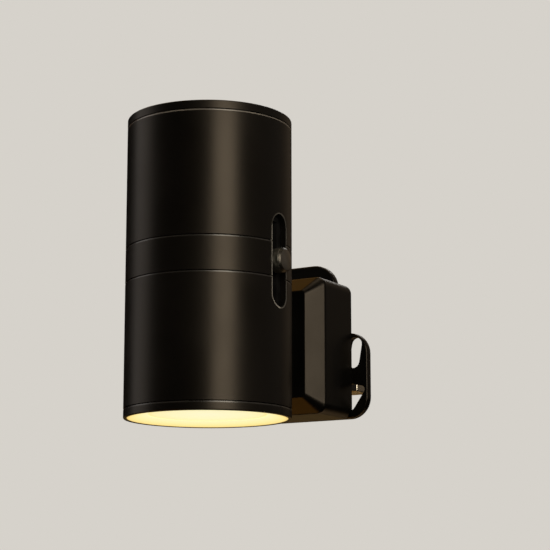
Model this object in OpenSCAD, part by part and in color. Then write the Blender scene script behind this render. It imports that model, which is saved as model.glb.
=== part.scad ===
// Plug-in wall night light: an up-and-down lamp tube on a three-pin plug housing.
// Millimetres. The rear face of the plug base is the plane y = 0, and the pins point along +y.
// z = 0 lies midway between the power pins and the earth pin.

/* [Plug pins] */
// Distance between the power pins, and from their line up to the earth pin
pin_pitch = 22.2; // [22:0.1:24]
// Width of a power pin
pin_w = 6.35; // [6:0.05:6.6]
// Thickness of a power pin
pin_t = 4; // [3.8:0.1:4.2]
// Length of a power pin beyond the base
pin_len = 17.7; // [17:0.1:19]
// Height of the earth pin's section
earth_h = 8; // [7.6:0.1:8.4]
// Thickness of the earth pin's section
earth_t = 4; // [3.8:0.1:4.2]
// Length of the earth pin beyond the base
earth_len = 22.7; // [22:0.1:24]
// Bevel at the end of each pin
pin_tip = 1.1; // [0.6:0.1:1.3]
// Length of the insulating sleeve beyond the base
sleeve_len = 9; // [8:0.1:9.5]
// Wall of the insulating sleeve
sleeve_wall = 0.6; // [0.4:0.05:0.8]
// How far a pin's inner head reaches past its shank on each side
pin_head_rim = 1; // [0.6:0.1:1.1]
// Thickness of a pin's inner head
pin_head_t = 1.5; // [1:0.1:2]

/* [Plug base] */
// Thickness of the base plate
base_t = 2.4; // [2.2:0.1:3.2]
// Bevel round the front edge of the base plate
base_bevel = 0.6; // [0.3:0.1:0.8]
// Least plate left between a pin and the edge of the base
pin_margin = 9.5; // [9.5:0.1:11]
// How far the cover's wall rests on the base plate, above the grips
base_seat = 0.2; // [0.1:0.1:1]
// Width of the lobe round the earth pin
lobe_w = 26.6; // [24:0.2:30]
// Corner radius of the lobe
lobe_r = 7.6; // [6:0.2:9]
// Height of the pull grips, from the foot of the base
grip_h = 25.6; // [24:0.2:28]
// Corner radius of the pull grips
grip_r = 6.3; // [5:0.1:7]
// Width of the upper grip hole
grip_slot_w = 4.2; // [3.8:0.1:4.4]
// Length of the upper grip hole
grip_slot_len = 9.3; // [8:0.1:9.6]
// Lean of the upper grip hole from upright
grip_slot_lean = 10; // [6:1:12]
// Plate between the grip's top edge and its upper hole
grip_slot_drop = 1.4; // [1.2:0.1:1.8]
// Plate between the grip's outer edge and its upper hole
grip_slot_rim = 1.9; // [1.5:0.1:2]
// Plate left between the two grip holes
grip_web = 4.6; // [4:0.1:5]
// Plate between the grip's outer edge and its lower hole
grip_hole_rim = 1.1; // [1:0.1:1.4]
// Height of the lower grip hole at its inner side
grip_hole_h = 7.8; // [6.5:0.1:8]
// How much lower the lower grip hole's outer corner lies than its inner one
grip_hole_drop = 0.8; // [0.4:0.1:1.2]
// Corner radius of the lower grip hole
grip_hole_r = 1.1; // [0.8:0.1:1.2]
// Height of the base's locating rim above its plate
rim_h = 5; // [4.6:0.1:6]
// Wall of the locating rim
rim_wall = 1.1; // [0.8:0.1:1.3]

/* [Plug cover] */
// Width of the cover
cover_w = 37.2; // [36.6:0.2:38]
// Height of the cover
cover_h = 40.1; // [39.5:0.1:42]
// Depth of the cover in front of the base
cover_depth = 20.4; // [20:0.1:24]
// Width and depth of the bevel round the cover's front
cover_bevel = 4.5; // [3:0.1:5]
// Corner radius of the cover's sides
cover_r = 3; // [2:0.1:4]
// Corner radius of the cover's front face
cover_front_r = 1.5; // [1:0.1:2]
// Wall of the cover
cover_wall = 1.6; // [1.4:0.1:2]
// Distance of the screw bosses' centres from the cover's sides
boss_inset = 5.05; // [4.9:0.05:5.5]
// Diameter of a screw boss
boss_d = 6; // [5.8:0.1:6.4]
// How far the cover's bosses reach into its bevel
boss_reach = 1.2; // [0.8:0.1:1.5]

/* [Screws] */
// Shank diameter of the base and neck screws
screw_d = 3; // [2.6:0.1:3.2]
// Head diameter of the base and neck screws
screw_head_d = 5.4; // [5:0.1:5.6]
// Head height of the base and neck screws
screw_head_h = 2; // [1.6:0.1:2]
// How far the base screws' heads lie below the base's rear face
screw_sink = 0.2; // [0.1:0.1:0.5]
// Shank length of a base screw
base_screw_len = 14; // [12:0.5:15]
// Shank diameter of the LED board screws
board_screw_d = 2.5; // [2:0.1:2.6]
// Head diameter of the LED board screws
board_screw_head_d = 4; // [3.6:0.1:4.2]
// Head height of the LED board screws
board_screw_head_h = 1.3; // [1:0.1:1.4]
// Distance of the LED board screws from the lamp's axis
board_screw_ring = 18.2; // [18:0.1:18.4]
// Width of a driver recess in a screw head
recess_w = 0.8; // [0.6:0.1:1]
// Depth of a driver recess in a screw head
recess_depth = 0.8; // [0.5:0.1:1]

/* [Neck] */
// Gap between the cover's front and the back of the tube
neck_gap = 6.2; // [5:0.1:9]
// Width of the neck
neck_w = 15; // [13:0.2:17]
// Height of the neck
neck_h = 26; // [24:0.5:28]
// Radius of the neck's upright edges
neck_r = 2.5; // [1:0.1:3]
// Distance of each neck screw from the middle of the neck
neck_screw_offset = 5.2; // [5.1:0.1:5.6]
// Diameter of the lead hole through the neck
lead_hole_d = 4.4; // [4.2:0.1:4.6]
// Width of the clamp plate inside the tube
clamp_w = 16; // [14:0.5:18]
// Height of the clamp plate inside the tube
clamp_h = 15; // [14.5:0.1:15.5]
// Thickness of the clamp plate at its middle
clamp_t = 3.4; // [3:0.1:4]
// How far the neck screws reach past the clamp plate
neck_screw_reach = 0.6; // [0:0.1:1.5]

/* [Lamp tube] */
// Outer diameter of the tube
tube_d = 46.5; // [46:0.1:50]
// Wall of the tube
tube_wall = 1.8; // [1.6:0.1:2]
// Height of the tube's middle above the middle of the neck
tube_rise = 18.25; // [16:0.25:18.5]
// Height of the plain tube above and below the middle band
arm_h = 34.9; // [34:0.1:40]
// Height of the middle band between its grooves
band_h = 9.8; // [8:0.1:12]
// Width of a turned groove
groove_w = 0.5; // [0.3:0.05:0.8]
// Depth of a turned groove
groove_depth = 0.35; // [0.2:0.05:0.6]
// Height of an end bezel
bezel_h = 2.5; // [2.2:0.1:4]
// Wall of a bezel's lip
bezel_lip = 0.95; // [0.8:0.05:1.1]
// Bevel round a bezel's outer rim
bezel_bevel = 0.15; // [0.1:0.05:0.4]
// Thickness of a bezel's inner flange
bezel_flange_t = 0.8; // [0.6:0.1:0.9]
// Length of a bezel's spigot in the tube
spigot_len = 4; // [3:0.1:5]
// Wall of a bezel's spigot
spigot_wall = 1.2; // [1:0.1:1.3]

/* [Lamp ends] */
// Depth of the lens below the bezel's rim
lens_recess = 1.4; // [1.2:0.1:1.5]
// Thickness of a lens
lens_t = 2; // [1.5:0.1:2.4]
// Diameter of the lens left clear by its shade ring
window_d = 33; // [32:0.1:36]
// Thickness of the shade ring at its inner edge
shade_edge_t = 0.15; // [0.1:0.05:0.2]
// Distance from the lens's back to the LED board
reflector_h = 6.6; // [6:0.1:7.2]
// Wall of the reflector
reflector_wall = 1; // [0.8:0.1:1.2]
// Diameter of the reflector's opening at the LED board
reflector_throat_d = 27; // [25:0.2:28]
// Thickness of an LED board
led_board_t = 1.6; // [1:0.1:2]
// Gap between an LED board's edge and the tube
led_board_gap = 0.8; // [0.6:0.1:1]
// Number of LEDs in the ring on each board
led_count = 6; // [4:1:8]
// Distance of the ring of LEDs from the lamp's axis
led_ring = 8; // [7:0.1:9]
// Side of an LED
led_w = 3; // [2.6:0.1:3.4]
// Height of an LED
led_h = 0.8; // [0.6:0.1:1]
// Thickness of the inner frame's end discs
disc_t = 3; // [3:0.1:4]

/* [Dimmer] */
// Travel of the slider from end to end
travel = 18.6; // [14:0.2:18.8]
// Gap between the knob and the slot's walls and ends
slot_gap = 0.25; // [0.2:0.05:0.4]
// Bevel round the slot
slot_bevel = 0.35; // [0.3:0.05:0.6]
// Diameter of the knob
knob_d = 6.8; // [6.4:0.1:7]
// How far the knob's barrel stands out from the tube
barrel_reach = 1.1; // [0.9:0.05:1.4]
// Width of the waist between the knob's barrel and cap
waist_t = 0.2; // [0.15:0.05:0.4]
// Depth of the waist
waist_depth = 0.35; // [0.3:0.05:0.6]
// Thickness of the knob's cap
cap_t = 0.8; // [0.75:0.05:1.1]
// Bevel round the cap's face
cap_bevel = 0.55; // [0.3:0.05:0.55]
// Thickness of the wiper's lever
lever_t = 1.6; // [1.2:0.1:1.8]
// Height of the wiper's lever
lever_h = 3; // [2.6:0.1:3.2]
// How far the lever's end stays below the cap's face
lever_cover = 0.7; // [0.6:0.1:0.9]
// Width of the strip behind the slot
liner_w = 11; // [10:0.5:12]
// Thickness of the strip behind the slot
liner_t = 1.2; // [0.8:0.1:1.3]
// How far the strip reaches past each end of the slot
liner_lap = 3; // [2:0.5:4]
// Width of the potentiometer
pot_w = 8; // [7:0.2:8.4]
// Depth of the potentiometer
pot_depth = 6.8; // [6.4:0.1:7]
// Length of the potentiometer
pot_len = 35; // [34:0.5:40]
// Distance between the potentiometer's leads along its length
pot_lead_pitch = 12; // [10:0.5:14]
// Wall of the potentiometer's case
pot_wall = 0.6; // [0.4:0.05:0.7]
// Thickness of the potentiometer's resistive strip
track_t = 1; // [0.8:0.1:1.2]
// Length of the wiper's block along the slot
wiper_len = 5; // [4.4:0.1:6]
// Gap between the potentiometer's face and the strip's inner side, at the middle
pot_drop = 0.9; // [0.85:0.05:1.2]

/* [Boards and parts] */
// Thickness of the driver board and of the dimmer board
board_t = 1.2; // [1:0.1:1.6]
// Margin between the driver board and the locating rim's outer side
board_inset = 0.4; // [0.2:0.1:0.8]
// Height of the dimmer board
dimmer_board_h = 42; // [38:0.5:46]
// Distance of the dimmer board behind the lamp's axis
dimmer_board_y = 9; // [8.6:0.1:9.2]
// Depth of the frame's rails along the dimmer board
rail_depth = 4; // [3.6:0.1:4]
// Gap between the potentiometer's leads and the frame's rail beside them
rail_gap = 0.25; // [0.2:0.05:0.4]
// Width of the frame's rails
rail_w = 2.6; // [2.2:0.1:2.6]
// How far the dimmer board enters each rail
rail_bite = 0.8; // [0.6:0.1:1]
// Thickness of the frame's plate under the potentiometer
pot_plate_t = 2; // [1.6:0.1:2.4]
// Least gap between neighbouring parts on the driver board
part_gap = 1; // [0.8:0.1:1.2]
// Thickness of the straps between the power pins and the driver board
strap_t = 0.8; // [0.6:0.1:1]
// Width of the straps
strap_w = 3; // [2.5:0.1:4]
// Width of the transformer
transformer_w = 12.4; // [11:0.2:12.6]
// Height of the transformer along the board
transformer_l = 12; // [10:0.5:12]
// Length of the transformer's core along the board
core_l = 6; // [5:0.2:7]
// Height of the transformer above the board
transformer_h = 9; // [8:0.5:9]
// Diameter of the input capacitor
input_cap_d = 8; // [6.3:0.1:8]
// Height of the input capacitor
input_cap_h = 10; // [8:0.5:10.5]
// Diameter of the output capacitor
output_cap_d = 6.3; // [5:0.1:6.5]
// Height of the output capacitor
output_cap_h = 8; // [7:0.5:10]
// Diameter of the choke
choke_d = 6; // [5:0.1:7]
// Height of the choke
choke_h = 7; // [6:0.5:8]
// Width of the bridge rectifier
bridge_w = 6.5; // [5:0.5:8]
// Length of the bridge rectifier along the board
bridge_l = 4.7; // [4:0.1:4.8]
// Height of the bridge rectifier
bridge_h = 2.6; // [1.6:0.1:3]
// Width of the controller chip
chip_w = 5; // [4:0.1:5.4]
// Length of the controller chip along the board
chip_l = 4; // [3.5:0.1:5]
// Height of the controller chip
chip_h = 1.75; // [1.2:0.05:2]
// Diameter of the fusible resistor
fuse_d = 3.4; // [3:0.1:3.6]
// Length of the fusible resistor
fuse_len = 9; // [7:0.5:10]
// Diameter of the internal leads
lead_d = 1.3; // [1.1:0.1:1.4]
// Distance between the two leads of a pair
lead_gap = 2.4; // [2.2:0.1:2.6]
// Gap round the lamp leads where they pass the frame
lead_clear = 0.6; // [0.4:0.1:0.8]
// Diameter of the potentiometer's leads
pot_lead_d = 0.9; // [0.7:0.1:1]

/* [Clearances] */
// Gap round parts that are fitted and stay put
fit_gap = 0.1; // [0.05:0.01:0.15]
// Gap round parts that slide
slide_gap = 0.3; // [0.25:0.01:0.35]
// Gap round a screw's shank
screw_gap = 0.05; // [0.03:0.01:0.1]

/* [Hidden] */
$fn = 96;
eps = 0.01;
over = 1; // How far cutters reach past what they cut

// Plug base and cover, seen from the front
pin_line_z = -pin_pitch / 2;
earth_z = pin_pitch / 2;
base_half_w = pin_pitch / 2 + pin_w / 2 + pin_margin;
base_foot_z = pin_line_z - pin_t / 2 - pin_margin;
base_top_z = earth_z + earth_h / 2 + pin_margin;
grip_top_z = base_foot_z + grip_h;
cover_z = base_foot_z + cover_h / 2;
cover_front_y = -(base_t + cover_depth);
cavity_front_y = cover_front_y + cover_wall;
cavity_w = cover_w - 2 * cover_wall;
cavity_h = cover_h - 2 * cover_wall;
cavity_r = cover_r - cover_wall / 2;
cavity_top_z = cover_z + cavity_h / 2;
board_y = -(base_t + rim_h);
board_front_y = board_y - board_t;
boss_x = cover_w / 2 - boss_inset;
boss_dz = cover_h / 2 - boss_inset;
boss_end_y = cover_front_y + cover_bevel - boss_reach;
screw_seat_y = -(screw_head_h + screw_sink);

// Driver, with x and z along the board from the cover's middle
driver_w = cavity_w - 2 * (fit_gap + board_inset);
driver_h = cavity_h - 2 * (fit_gap + board_inset);
lead_lane = (lead_gap + lead_d) / 2 + part_gap;
upper_row_z = boss_dz - boss_d / 2 - part_gap;
lower_row_z = upper_row_z - transformer_l - part_gap;
fuse_z = part_gap + fuse_d / 2 - driver_h / 2;
core_leg = transformer_w / 4;
core_window = 0.9 * core_leg;
core_window_h = transformer_h - core_leg;

// Lamp tube
tube_r = tube_d / 2;
bore_r = tube_r - tube_wall;
tube_half = band_h / 2 + arm_h;
tube_y = cover_front_y - neck_gap - tube_r;
tube_z = cover_z + tube_rise;

// Lamp end, with z = 0 at the end of the tube and +z outwards
bezel_bore_r = tube_r - bezel_lip;
spigot_r = bore_r - fit_gap;
spigot_bore_r = spigot_r - spigot_wall;
lens_top = bezel_h - lens_recess;
lens_back = lens_top - lens_t;
lens_r = spigot_bore_r - fit_gap;
led_board_top = lens_back - reflector_h;
led_board_back = led_board_top - led_board_t;
disc_back = led_board_back - disc_t;
led_board_r = bore_r - led_board_gap;
disc_r = bore_r - fit_gap;

// Dimmer, with x outwards from the lamp's axis
liner_r = bore_r - fit_gap;
liner_bore_r = liner_r - liner_t;
pot_front_x = liner_bore_r - pot_drop;
pot_back_x = pot_front_x - pot_depth;
pot_plate_x = pot_back_x - pot_plate_t;
slot_w = knob_d + 2 * slot_gap;
slot_len = travel + slot_w;
barrel_back_x = bore_r + slide_gap;
barrel_front_x = tube_r + barrel_reach;
cap_back_x = barrel_front_x + waist_t;
cap_front_x = cap_back_x + cap_t;
lever_end_x = cap_front_x - lever_cover;
slit_w = lever_t + 2 * slide_gap;
slit_len = travel + lever_h + 2 * slide_gap;
rail_x = pot_back_x + fit_gap + pot_lead_d + rail_gap;
dimmer_board_w = 2 * (rail_x + rail_bite - fit_gap);
dimmer_board_back_y = dimmer_board_y + board_t;
clamp_inner_y = bore_r - fit_gap - clamp_t;

// ---- Helpers ----

// Extrudes an outline drawn in x and z, from the plane y towards the front
module plate_y(y, t) {
    translate([0, y, 0]) rotate([90, 0, 0]) linear_extrude(t) children();
}

// Rounded rectangle about its centre
module rounded_rect(w, h, r) {
    square([w - 2 * r, h], center = true);
    square([w, h - 2 * r], center = true);
    for (sx = [-1, 1], sy = [-1, 1])
        translate([sx * (w / 2 - r), sy * (h / 2 - r)]) circle(r);
}

// Rounded slab on z = 0 with a bevel round its upper edge
module bevelled_slab(w, h, r, t, bevel) {
    linear_extrude(t - bevel) rounded_rect(w, h, r);
    translate([0, 0, t - bevel]) {
        for (sx = [-1, 1], sy = [-1, 1])
            translate([sx * (w / 2 - r), sy * (h / 2 - r), 0]) cylinder(h = bevel, r1 = r, r2 = r - bevel);
        rotate([90, 0, 90]) linear_extrude(w - 2 * r, center = true)
            polygon([[-h / 2, 0], [h / 2, 0], [h / 2 - bevel, bevel], [bevel - h / 2, bevel]]);
        rotate([90, 0, 0]) linear_extrude(h - 2 * r, center = true)
            polygon([[-w / 2, 0], [w / 2, 0], [w / 2 - bevel, bevel], [bevel - w / 2, bevel]]);
    }
}

// Stadium with its long side upright
module upright_slot(w, len) {
    square([w, len - w], center = true);
    for (s = [-1, 1]) translate([0, s * (len - w) / 2]) circle(d = w);
}

// Pan-head screw with its seat at z = 0, its head above and its shank below
module screw(d, len, head_d, head_h) {
    tip = 0.4;
    crown = 0.4 * head_h;
    recess_span = 0.6 * head_d;
    difference() {
        rotate_extrude() polygon([
            [0, -len], [d / 2 - tip, -len], [d / 2, tip - len], [d / 2, 0],
            [head_d / 2, 0], [head_d / 2, head_h - crown], [head_d / 2 - crown, head_h], [0, head_h]
        ]);
        for (a = [0, 90]) rotate(a)
            translate([0, 0, head_h]) cube([recess_span, recess_w, 2 * recess_depth], center = true);
    }
}

// Places children at one lamp end: z = 0 at the end of the tube, +z outwards
module lamp_end(upper) {
    translate([0, tube_y, tube_z])
        if (upper) translate([0, 0, tube_half]) children();
        else mirror([0, 0, 1]) translate([0, 0, tube_half]) children();
}

// Places children at the middle of the lamp
module lamp_middle() {
    translate([0, tube_y, tube_z]) children();
}

// Solid between two radii and two heights
module ring(r_in, r_out, z0, z1) {
    translate([0, 0, z0]) difference() {
        cylinder(h = z1 - z0, r = r_out);
        translate([0, 0, -over]) cylinder(h = z1 - z0 + 2 * over, r = r_in);
    }
}

// ---- Plug base ----

module grip_slot() {
    run = grip_slot_len - grip_slot_w;
    lean_x = run / 2 * sin(grip_slot_lean);
    lean_z = run / 2 * cos(grip_slot_lean);
    translate([base_half_w - grip_slot_rim - grip_slot_w / 2 - lean_x,
               grip_top_z - grip_slot_drop - grip_slot_w / 2 - lean_z])
        rotate(-grip_slot_lean) upright_slot(grip_slot_w, grip_slot_len);
}

module grip_hole() {
    r = grip_hole_r;
    slot_foot_z = grip_top_z - grip_slot_drop - grip_slot_w
        - (grip_slot_len - grip_slot_w) * cos(grip_slot_lean);
    top_z = slot_foot_z - grip_web;
    inner_x = cover_w / 2 - cover_wall + fit_gap;
    outer_x = base_half_w - grip_hole_rim;
    hull() {
        translate([inner_x + r, top_z - r]) circle(r, $fn = 32);
        translate([outer_x - r, top_z - grip_hole_drop - r]) circle(r, $fn = 32);
        translate([inner_x + r, top_z - grip_hole_h + r]) circle(r, $fn = 32);
    }
}

module plug_base() {
    lobe_h = base_top_z - base_foot_z - grip_r;
    color("#1b1b1d") difference() {
        union() {
            translate([0, 0, base_foot_z + grip_h / 2])
                rotate([90, 0, 0]) bevelled_slab(2 * base_half_w, grip_h, grip_r, base_t, base_bevel);
            translate([0, 0, base_top_z - lobe_h / 2])
                rotate([90, 0, 0]) bevelled_slab(lobe_w, lobe_h, lobe_r, base_t, base_bevel);
            plate_y(0, base_t) translate([0, cover_z])
                rounded_rect(cavity_w + 2 * base_seat, cavity_h + 2 * base_seat, cavity_r + base_seat);
            plate_y(eps - base_t, rim_h + eps) difference() {
                translate([0, cover_z])
                    rounded_rect(cavity_w - 2 * fit_gap, cavity_h - 2 * fit_gap, cavity_r - fit_gap);
                translate([0, cover_z])
                    square([cavity_w - 2 * (fit_gap + rim_wall), cavity_h - 2 * (fit_gap + rim_wall)],
                           center = true);
                translate([0, cavity_top_z])
                    square([earth_t + 2 * (pin_head_rim + fit_gap), 4 * rim_wall], center = true);
            }
            for (sx = [-1, 1], sz = [-1, 1])
                plate_y(eps - base_t, rim_h + board_t + eps)
                    translate([sx * boss_x, cover_z + sz * boss_dz]) circle(d = boss_d);
        }
        for (side = [0, 1]) mirror([side, 0, 0])
            plate_y(over, base_t + 2 * over) {
                grip_slot();
                grip_hole();
            }
        for (sx = [-1, 1])
            plate_y(over, base_t + 2 * over) translate([sx * pin_pitch / 2, pin_line_z])
                square([pin_w + 2 * fit_gap, pin_t + 2 * fit_gap], center = true);
        plate_y(over, base_t + 2 * over) translate([0, earth_z])
            square([earth_t + 2 * fit_gap, earth_h + 2 * fit_gap], center = true);
        for (sx = [-1, 1], sz = [-1, 1]) translate([sx * boss_x, 0, cover_z + sz * boss_dz]) {
            plate_y(over, base_t + rim_h + board_t + 2 * over) circle(d = screw_d + 2 * screw_gap);
            plate_y(over, over - screw_seat_y) circle(d = screw_head_d + 2 * fit_gap);
        }
    }
}

// ---- Pins ----

// Pin with its section's width along x and its thickness along z, and the base's rear face at y = 0
module pin(w, t, len) {
    inner_y = -(base_t + pin_head_t);
    intersection() {
        linear_extrude(t + 2 * pin_head_rim, center = true) polygon([
            [-w / 2 - pin_head_rim, inner_y], [-w / 2 - pin_head_rim, -base_t], [-w / 2, -base_t],
            [-w / 2, len - pin_tip], [pin_tip - w / 2, len], [w / 2 - pin_tip, len], [w / 2, len - pin_tip],
            [w / 2, -base_t], [w / 2 + pin_head_rim, -base_t], [w / 2 + pin_head_rim, inner_y]
        ]);
        rotate([90, 0, 90]) linear_extrude(w + 2 * pin_head_rim, center = true) polygon([
            [inner_y, -t / 2 - pin_head_rim], [-base_t, -t / 2 - pin_head_rim], [-base_t, -t / 2],
            [len - pin_tip, -t / 2], [len, pin_tip - t / 2], [len, t / 2 - pin_tip], [len - pin_tip, t / 2],
            [-base_t, t / 2], [-base_t, t / 2 + pin_head_rim], [inner_y, t / 2 + pin_head_rim]
        ]);
    }
}

module power_pin(side) {
    translate([side * pin_pitch / 2, 0, pin_line_z]) difference() {
        pin(pin_w, pin_t, pin_len);
        difference() {
            translate([0, (sleeve_len - base_t) / 2, 0])
                cube([pin_w + 2 * over, sleeve_len + base_t, pin_t + 2 * over], center = true);
            translate([0, (sleeve_len - base_t) / 2, 0]) sleeve_bore();
        }
    }
}

module pin_sleeve(side) {
    translate([side * pin_pitch / 2, (sleeve_len - base_t) / 2, pin_line_z]) difference() {
        cube([pin_w, sleeve_len + base_t, pin_t], center = true);
        sleeve_bore();
    }
}

module sleeve_bore() {
    cube([pin_w - 2 * sleeve_wall, sleeve_len + base_t + 2 * over, pin_t - 2 * sleeve_wall], center = true);
}

module live_pin() { color("#c8b274") power_pin(1); }
module neutral_pin() { color("#c8b274") power_pin(-1); }
module live_sleeve() { color("#202022") pin_sleeve(1); }
module neutral_sleeve() { color("#202022") pin_sleeve(-1); }

// Plastic pin, with its head cut level below the cover's top wall
module earth_pin() {
    color("#262628") difference() {
        translate([0, 0, earth_z]) pin(earth_t, earth_h, earth_len);
        translate([-earth_t, -base_t - 2 * pin_head_t, cavity_top_z - 2 * fit_gap])
            cube([2 * earth_t, 2 * pin_head_t, earth_h]);
    }
}

// Straps from the power pins' heads to the back of the driver board
module contact_tags() {
    head_y = -(base_t + pin_head_t);
    color("#b08d3f") for (side = [-1, 1])
        translate([side * pin_pitch / 2, 0, pin_line_z]) rotate([90, 0, 90])
            linear_extrude(strap_w, center = true) polygon([
                [head_y, -pin_t / 2], [head_y, pin_t / 2], [head_y - strap_t, pin_t / 2],
                [head_y - strap_t, strap_t - pin_t / 2], [board_y + strap_t, strap_t - pin_t / 2],
                [board_y + strap_t, pin_t / 2], [board_y, pin_t / 2], [board_y, -pin_t / 2]
            ]);
}

module base_screws() {
    color("#8c8f94") for (sx = [-1, 1], sz = [-1, 1])
        translate([sx * boss_x, screw_seat_y, cover_z + sz * boss_dz])
            rotate([-90, 0, 0]) screw(screw_d, base_screw_len, screw_head_d, screw_head_h);
}

// ---- Plug cover ----

// Bevelled box that the cover's outside and its cavity are both made from
module bevelled_box(w, h, r, back_y, bevel_y, front_y, front_w, front_h, front_r) {
    hull() {
        plate_y(back_y, back_y - bevel_y) translate([0, cover_z]) rounded_rect(w, h, r, $fn = 48);
        plate_y(front_y + eps, eps) translate([0, cover_z])
            rounded_rect(front_w, front_h, front_r, $fn = 48);
    }
}

module cover_outside() {
    bevelled_box(cover_w, cover_h, cover_r, -base_t, cover_front_y + cover_bevel, cover_front_y,
                 cover_w - 2 * cover_bevel, cover_h - 2 * cover_bevel, cover_front_r);
}

module cover_cavity() {
    // The bevel's wall stays as thick as the sides: both ends of the inner bevel move in by this much
    shift = cover_wall * tan(22.5);
    cavity_bevel = cover_bevel - cover_wall + shift;
    bevelled_box(cavity_w, cavity_h, cavity_r, over - base_t,
                 cavity_front_y + cavity_bevel, cavity_front_y,
                 cavity_w - 2 * cavity_bevel, cavity_h - 2 * cavity_bevel, cover_front_r / 2);
}

module plug_cover() {
    boss_start_y = board_front_y - fit_gap;
    hole_end_y = screw_seat_y - base_screw_len - 5 * fit_gap;
    color("#1a1a1c") difference() {
        union() {
            difference() {
                cover_outside();
                cover_cavity();
            }
            for (sx = [-1, 1], sz = [-1, 1])
                plate_y(boss_start_y, boss_start_y - boss_end_y)
                    translate([sx * boss_x, cover_z + sz * boss_dz]) circle(d = boss_d);
        }
        for (sx = [-1, 1], sz = [-1, 1])
            plate_y(boss_start_y + over, boss_start_y + over - hole_end_y)
                translate([sx * boss_x, cover_z + sz * boss_dz]) circle(d = screw_d + 2 * screw_gap);
        neck_holes(cavity_front_y + over, cover_wall + 2 * over);
    }
}

// ---- Driver ----

module driver_board() {
    color("#2f6b3c") plate_y(board_y, board_t) difference() {
        translate([0, cover_z]) square([driver_w, driver_h], center = true);
        for (sx = [-1, 1], sz = [-1, 1]) translate([sx * boss_x, cover_z + sz * boss_dz]) {
            circle(d = boss_d + 2 * fit_gap);
            translate([sx * boss_d, 0]) square([2 * boss_d, boss_d + 2 * fit_gap], center = true);
            translate([0, sz * boss_d]) square([boss_d + 2 * fit_gap, 2 * boss_d], center = true);
        }
    }
}

// Places children on the driver board's front: x and y along the board, z up from it
module on_board(x, z) {
    translate([x, board_front_y, cover_z + z]) rotate([90, 0, 0]) children();
}

// Places children at the middle of the transformer, with z up from the board
module at_transformer() {
    on_board(-lead_lane - transformer_w / 2, upper_row_z - transformer_l / 2)
        translate([0, 0, transformer_h / 2]) children();
}

module transformer_core() {
    color("#3a3a3d") at_transformer() rotate([90, 0, 0]) linear_extrude(core_l, center = true) difference() {
        square([transformer_w, transformer_h], center = true);
        for (s = [-1, 1]) translate([s * (core_leg + core_window) / 2, 0])
            square([core_window, core_window_h], center = true);
    }
}

module transformer_winding() {
    winding_h = core_window_h - 2 * fit_gap;
    color("#c9a640") at_transformer() linear_extrude(winding_h, center = true) difference() {
        upright_slot(core_leg + 2 * (core_window - fit_gap), transformer_l);
        square([core_leg + 2 * fit_gap, core_l + 2 * fit_gap], center = true);
    }
}

// Standing capacitor with the crimp near its foot
module standing_can(x, z, d, h) {
    crimp_z = 1.2;
    crimp_h = 0.6;
    crimp_depth = 0.3;
    color("#2b2f36") on_board(x, z) difference() {
        cylinder(h = h, d = d);
        ring(d / 2 - crimp_depth, d, crimp_z, crimp_z + crimp_h);
    }
}

module input_capacitor() {
    standing_can(lead_lane + input_cap_d / 2, upper_row_z - input_cap_d / 2, input_cap_d, input_cap_h);
}

module output_capacitor() {
    standing_can(lead_lane + output_cap_d / 2, lower_row_z - output_cap_d / 2, output_cap_d, output_cap_h);
}

// Drum core with a sleeved winding between its flanges
module choke() {
    r = choke_d / 2;
    flange_t = 1;
    flange_reach = 0.6;
    winding_r = r - flange_reach;
    color("#4a4a4d") on_board(-lead_lane - r, lower_row_z - r) rotate_extrude() polygon([
        [0, 0], [r, 0], [r, flange_t], [winding_r, flange_t],
        [winding_r, choke_h - flange_t], [r, choke_h - flange_t], [r, choke_h], [0, choke_h]
    ]);
}

module driver_chips() {
    color("#151517") {
        on_board(0, driver_h / 2 - part_gap - bridge_l / 2) translate([0, 0, bridge_h / 2])
            cube([bridge_w, bridge_l, bridge_h], center = true);
        on_board(0, fuse_z + fuse_d / 2 + part_gap + chip_l / 2) translate([0, 0, chip_h / 2])
            cube([chip_w, chip_l, chip_h], center = true);
    }
}

// Fusible resistor lying along x, with a pressed cap at each end
module fuse_resistor() {
    cap_len = 1.6;
    cap_wall = 0.25;
    edge = 0.3;
    r = fuse_d / 2;
    body_r = r - cap_wall;
    color("#7aa0b8") on_board(0, fuse_z)
        translate([-fuse_len / 2, 0, r]) rotate([0, 90, 0]) rotate_extrude() polygon([
            [0, 0], [r - edge, 0], [r, edge], [r, cap_len], [body_r, cap_len + edge],
            [body_r, fuse_len - cap_len - edge], [r, fuse_len - cap_len], [r, fuse_len - edge],
            [r - edge, fuse_len], [0, fuse_len]
        ]);
}

// ---- Neck ----

// Cuts the two screw holes and the lead hole, from the plane y for t towards the front
module neck_holes(y, t) {
    plate_y(y, t) translate([0, cover_z]) {
        for (s = [-1, 1]) translate([0, s * neck_screw_offset]) circle(d = screw_d + 2 * screw_gap);
        circle(d = lead_hole_d);
    }
}

// Block between the cover and the tube, hollowed to the tube's round
module neck() {
    saddle_r = tube_r + fit_gap;
    saddle_depth = saddle_r - sqrt(saddle_r * saddle_r - neck_w * neck_w / 4);
    neck_t = cover_front_y - (tube_y + saddle_r) + saddle_depth;
    color("#1c1c1e") difference() {
        plate_y(cover_front_y, neck_t) translate([0, cover_z]) rounded_rect(neck_w, neck_h, neck_r);
        translate([0, tube_y, cover_z])
            cylinder(h = neck_h + 2 * over, r = saddle_r, center = true, $fn = 160);
        neck_holes(cover_front_y + over, neck_t + 2 * over);
    }
}

module neck_screws() {
    len = cavity_front_y - (tube_y + clamp_inner_y) + neck_screw_reach;
    color("#8c8f94") for (s = [-1, 1])
        translate([0, cavity_front_y, cover_z + s * neck_screw_offset])
            rotate([-90, 0, 0]) screw(screw_d, len, screw_head_d, screw_head_h);
}

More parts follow.
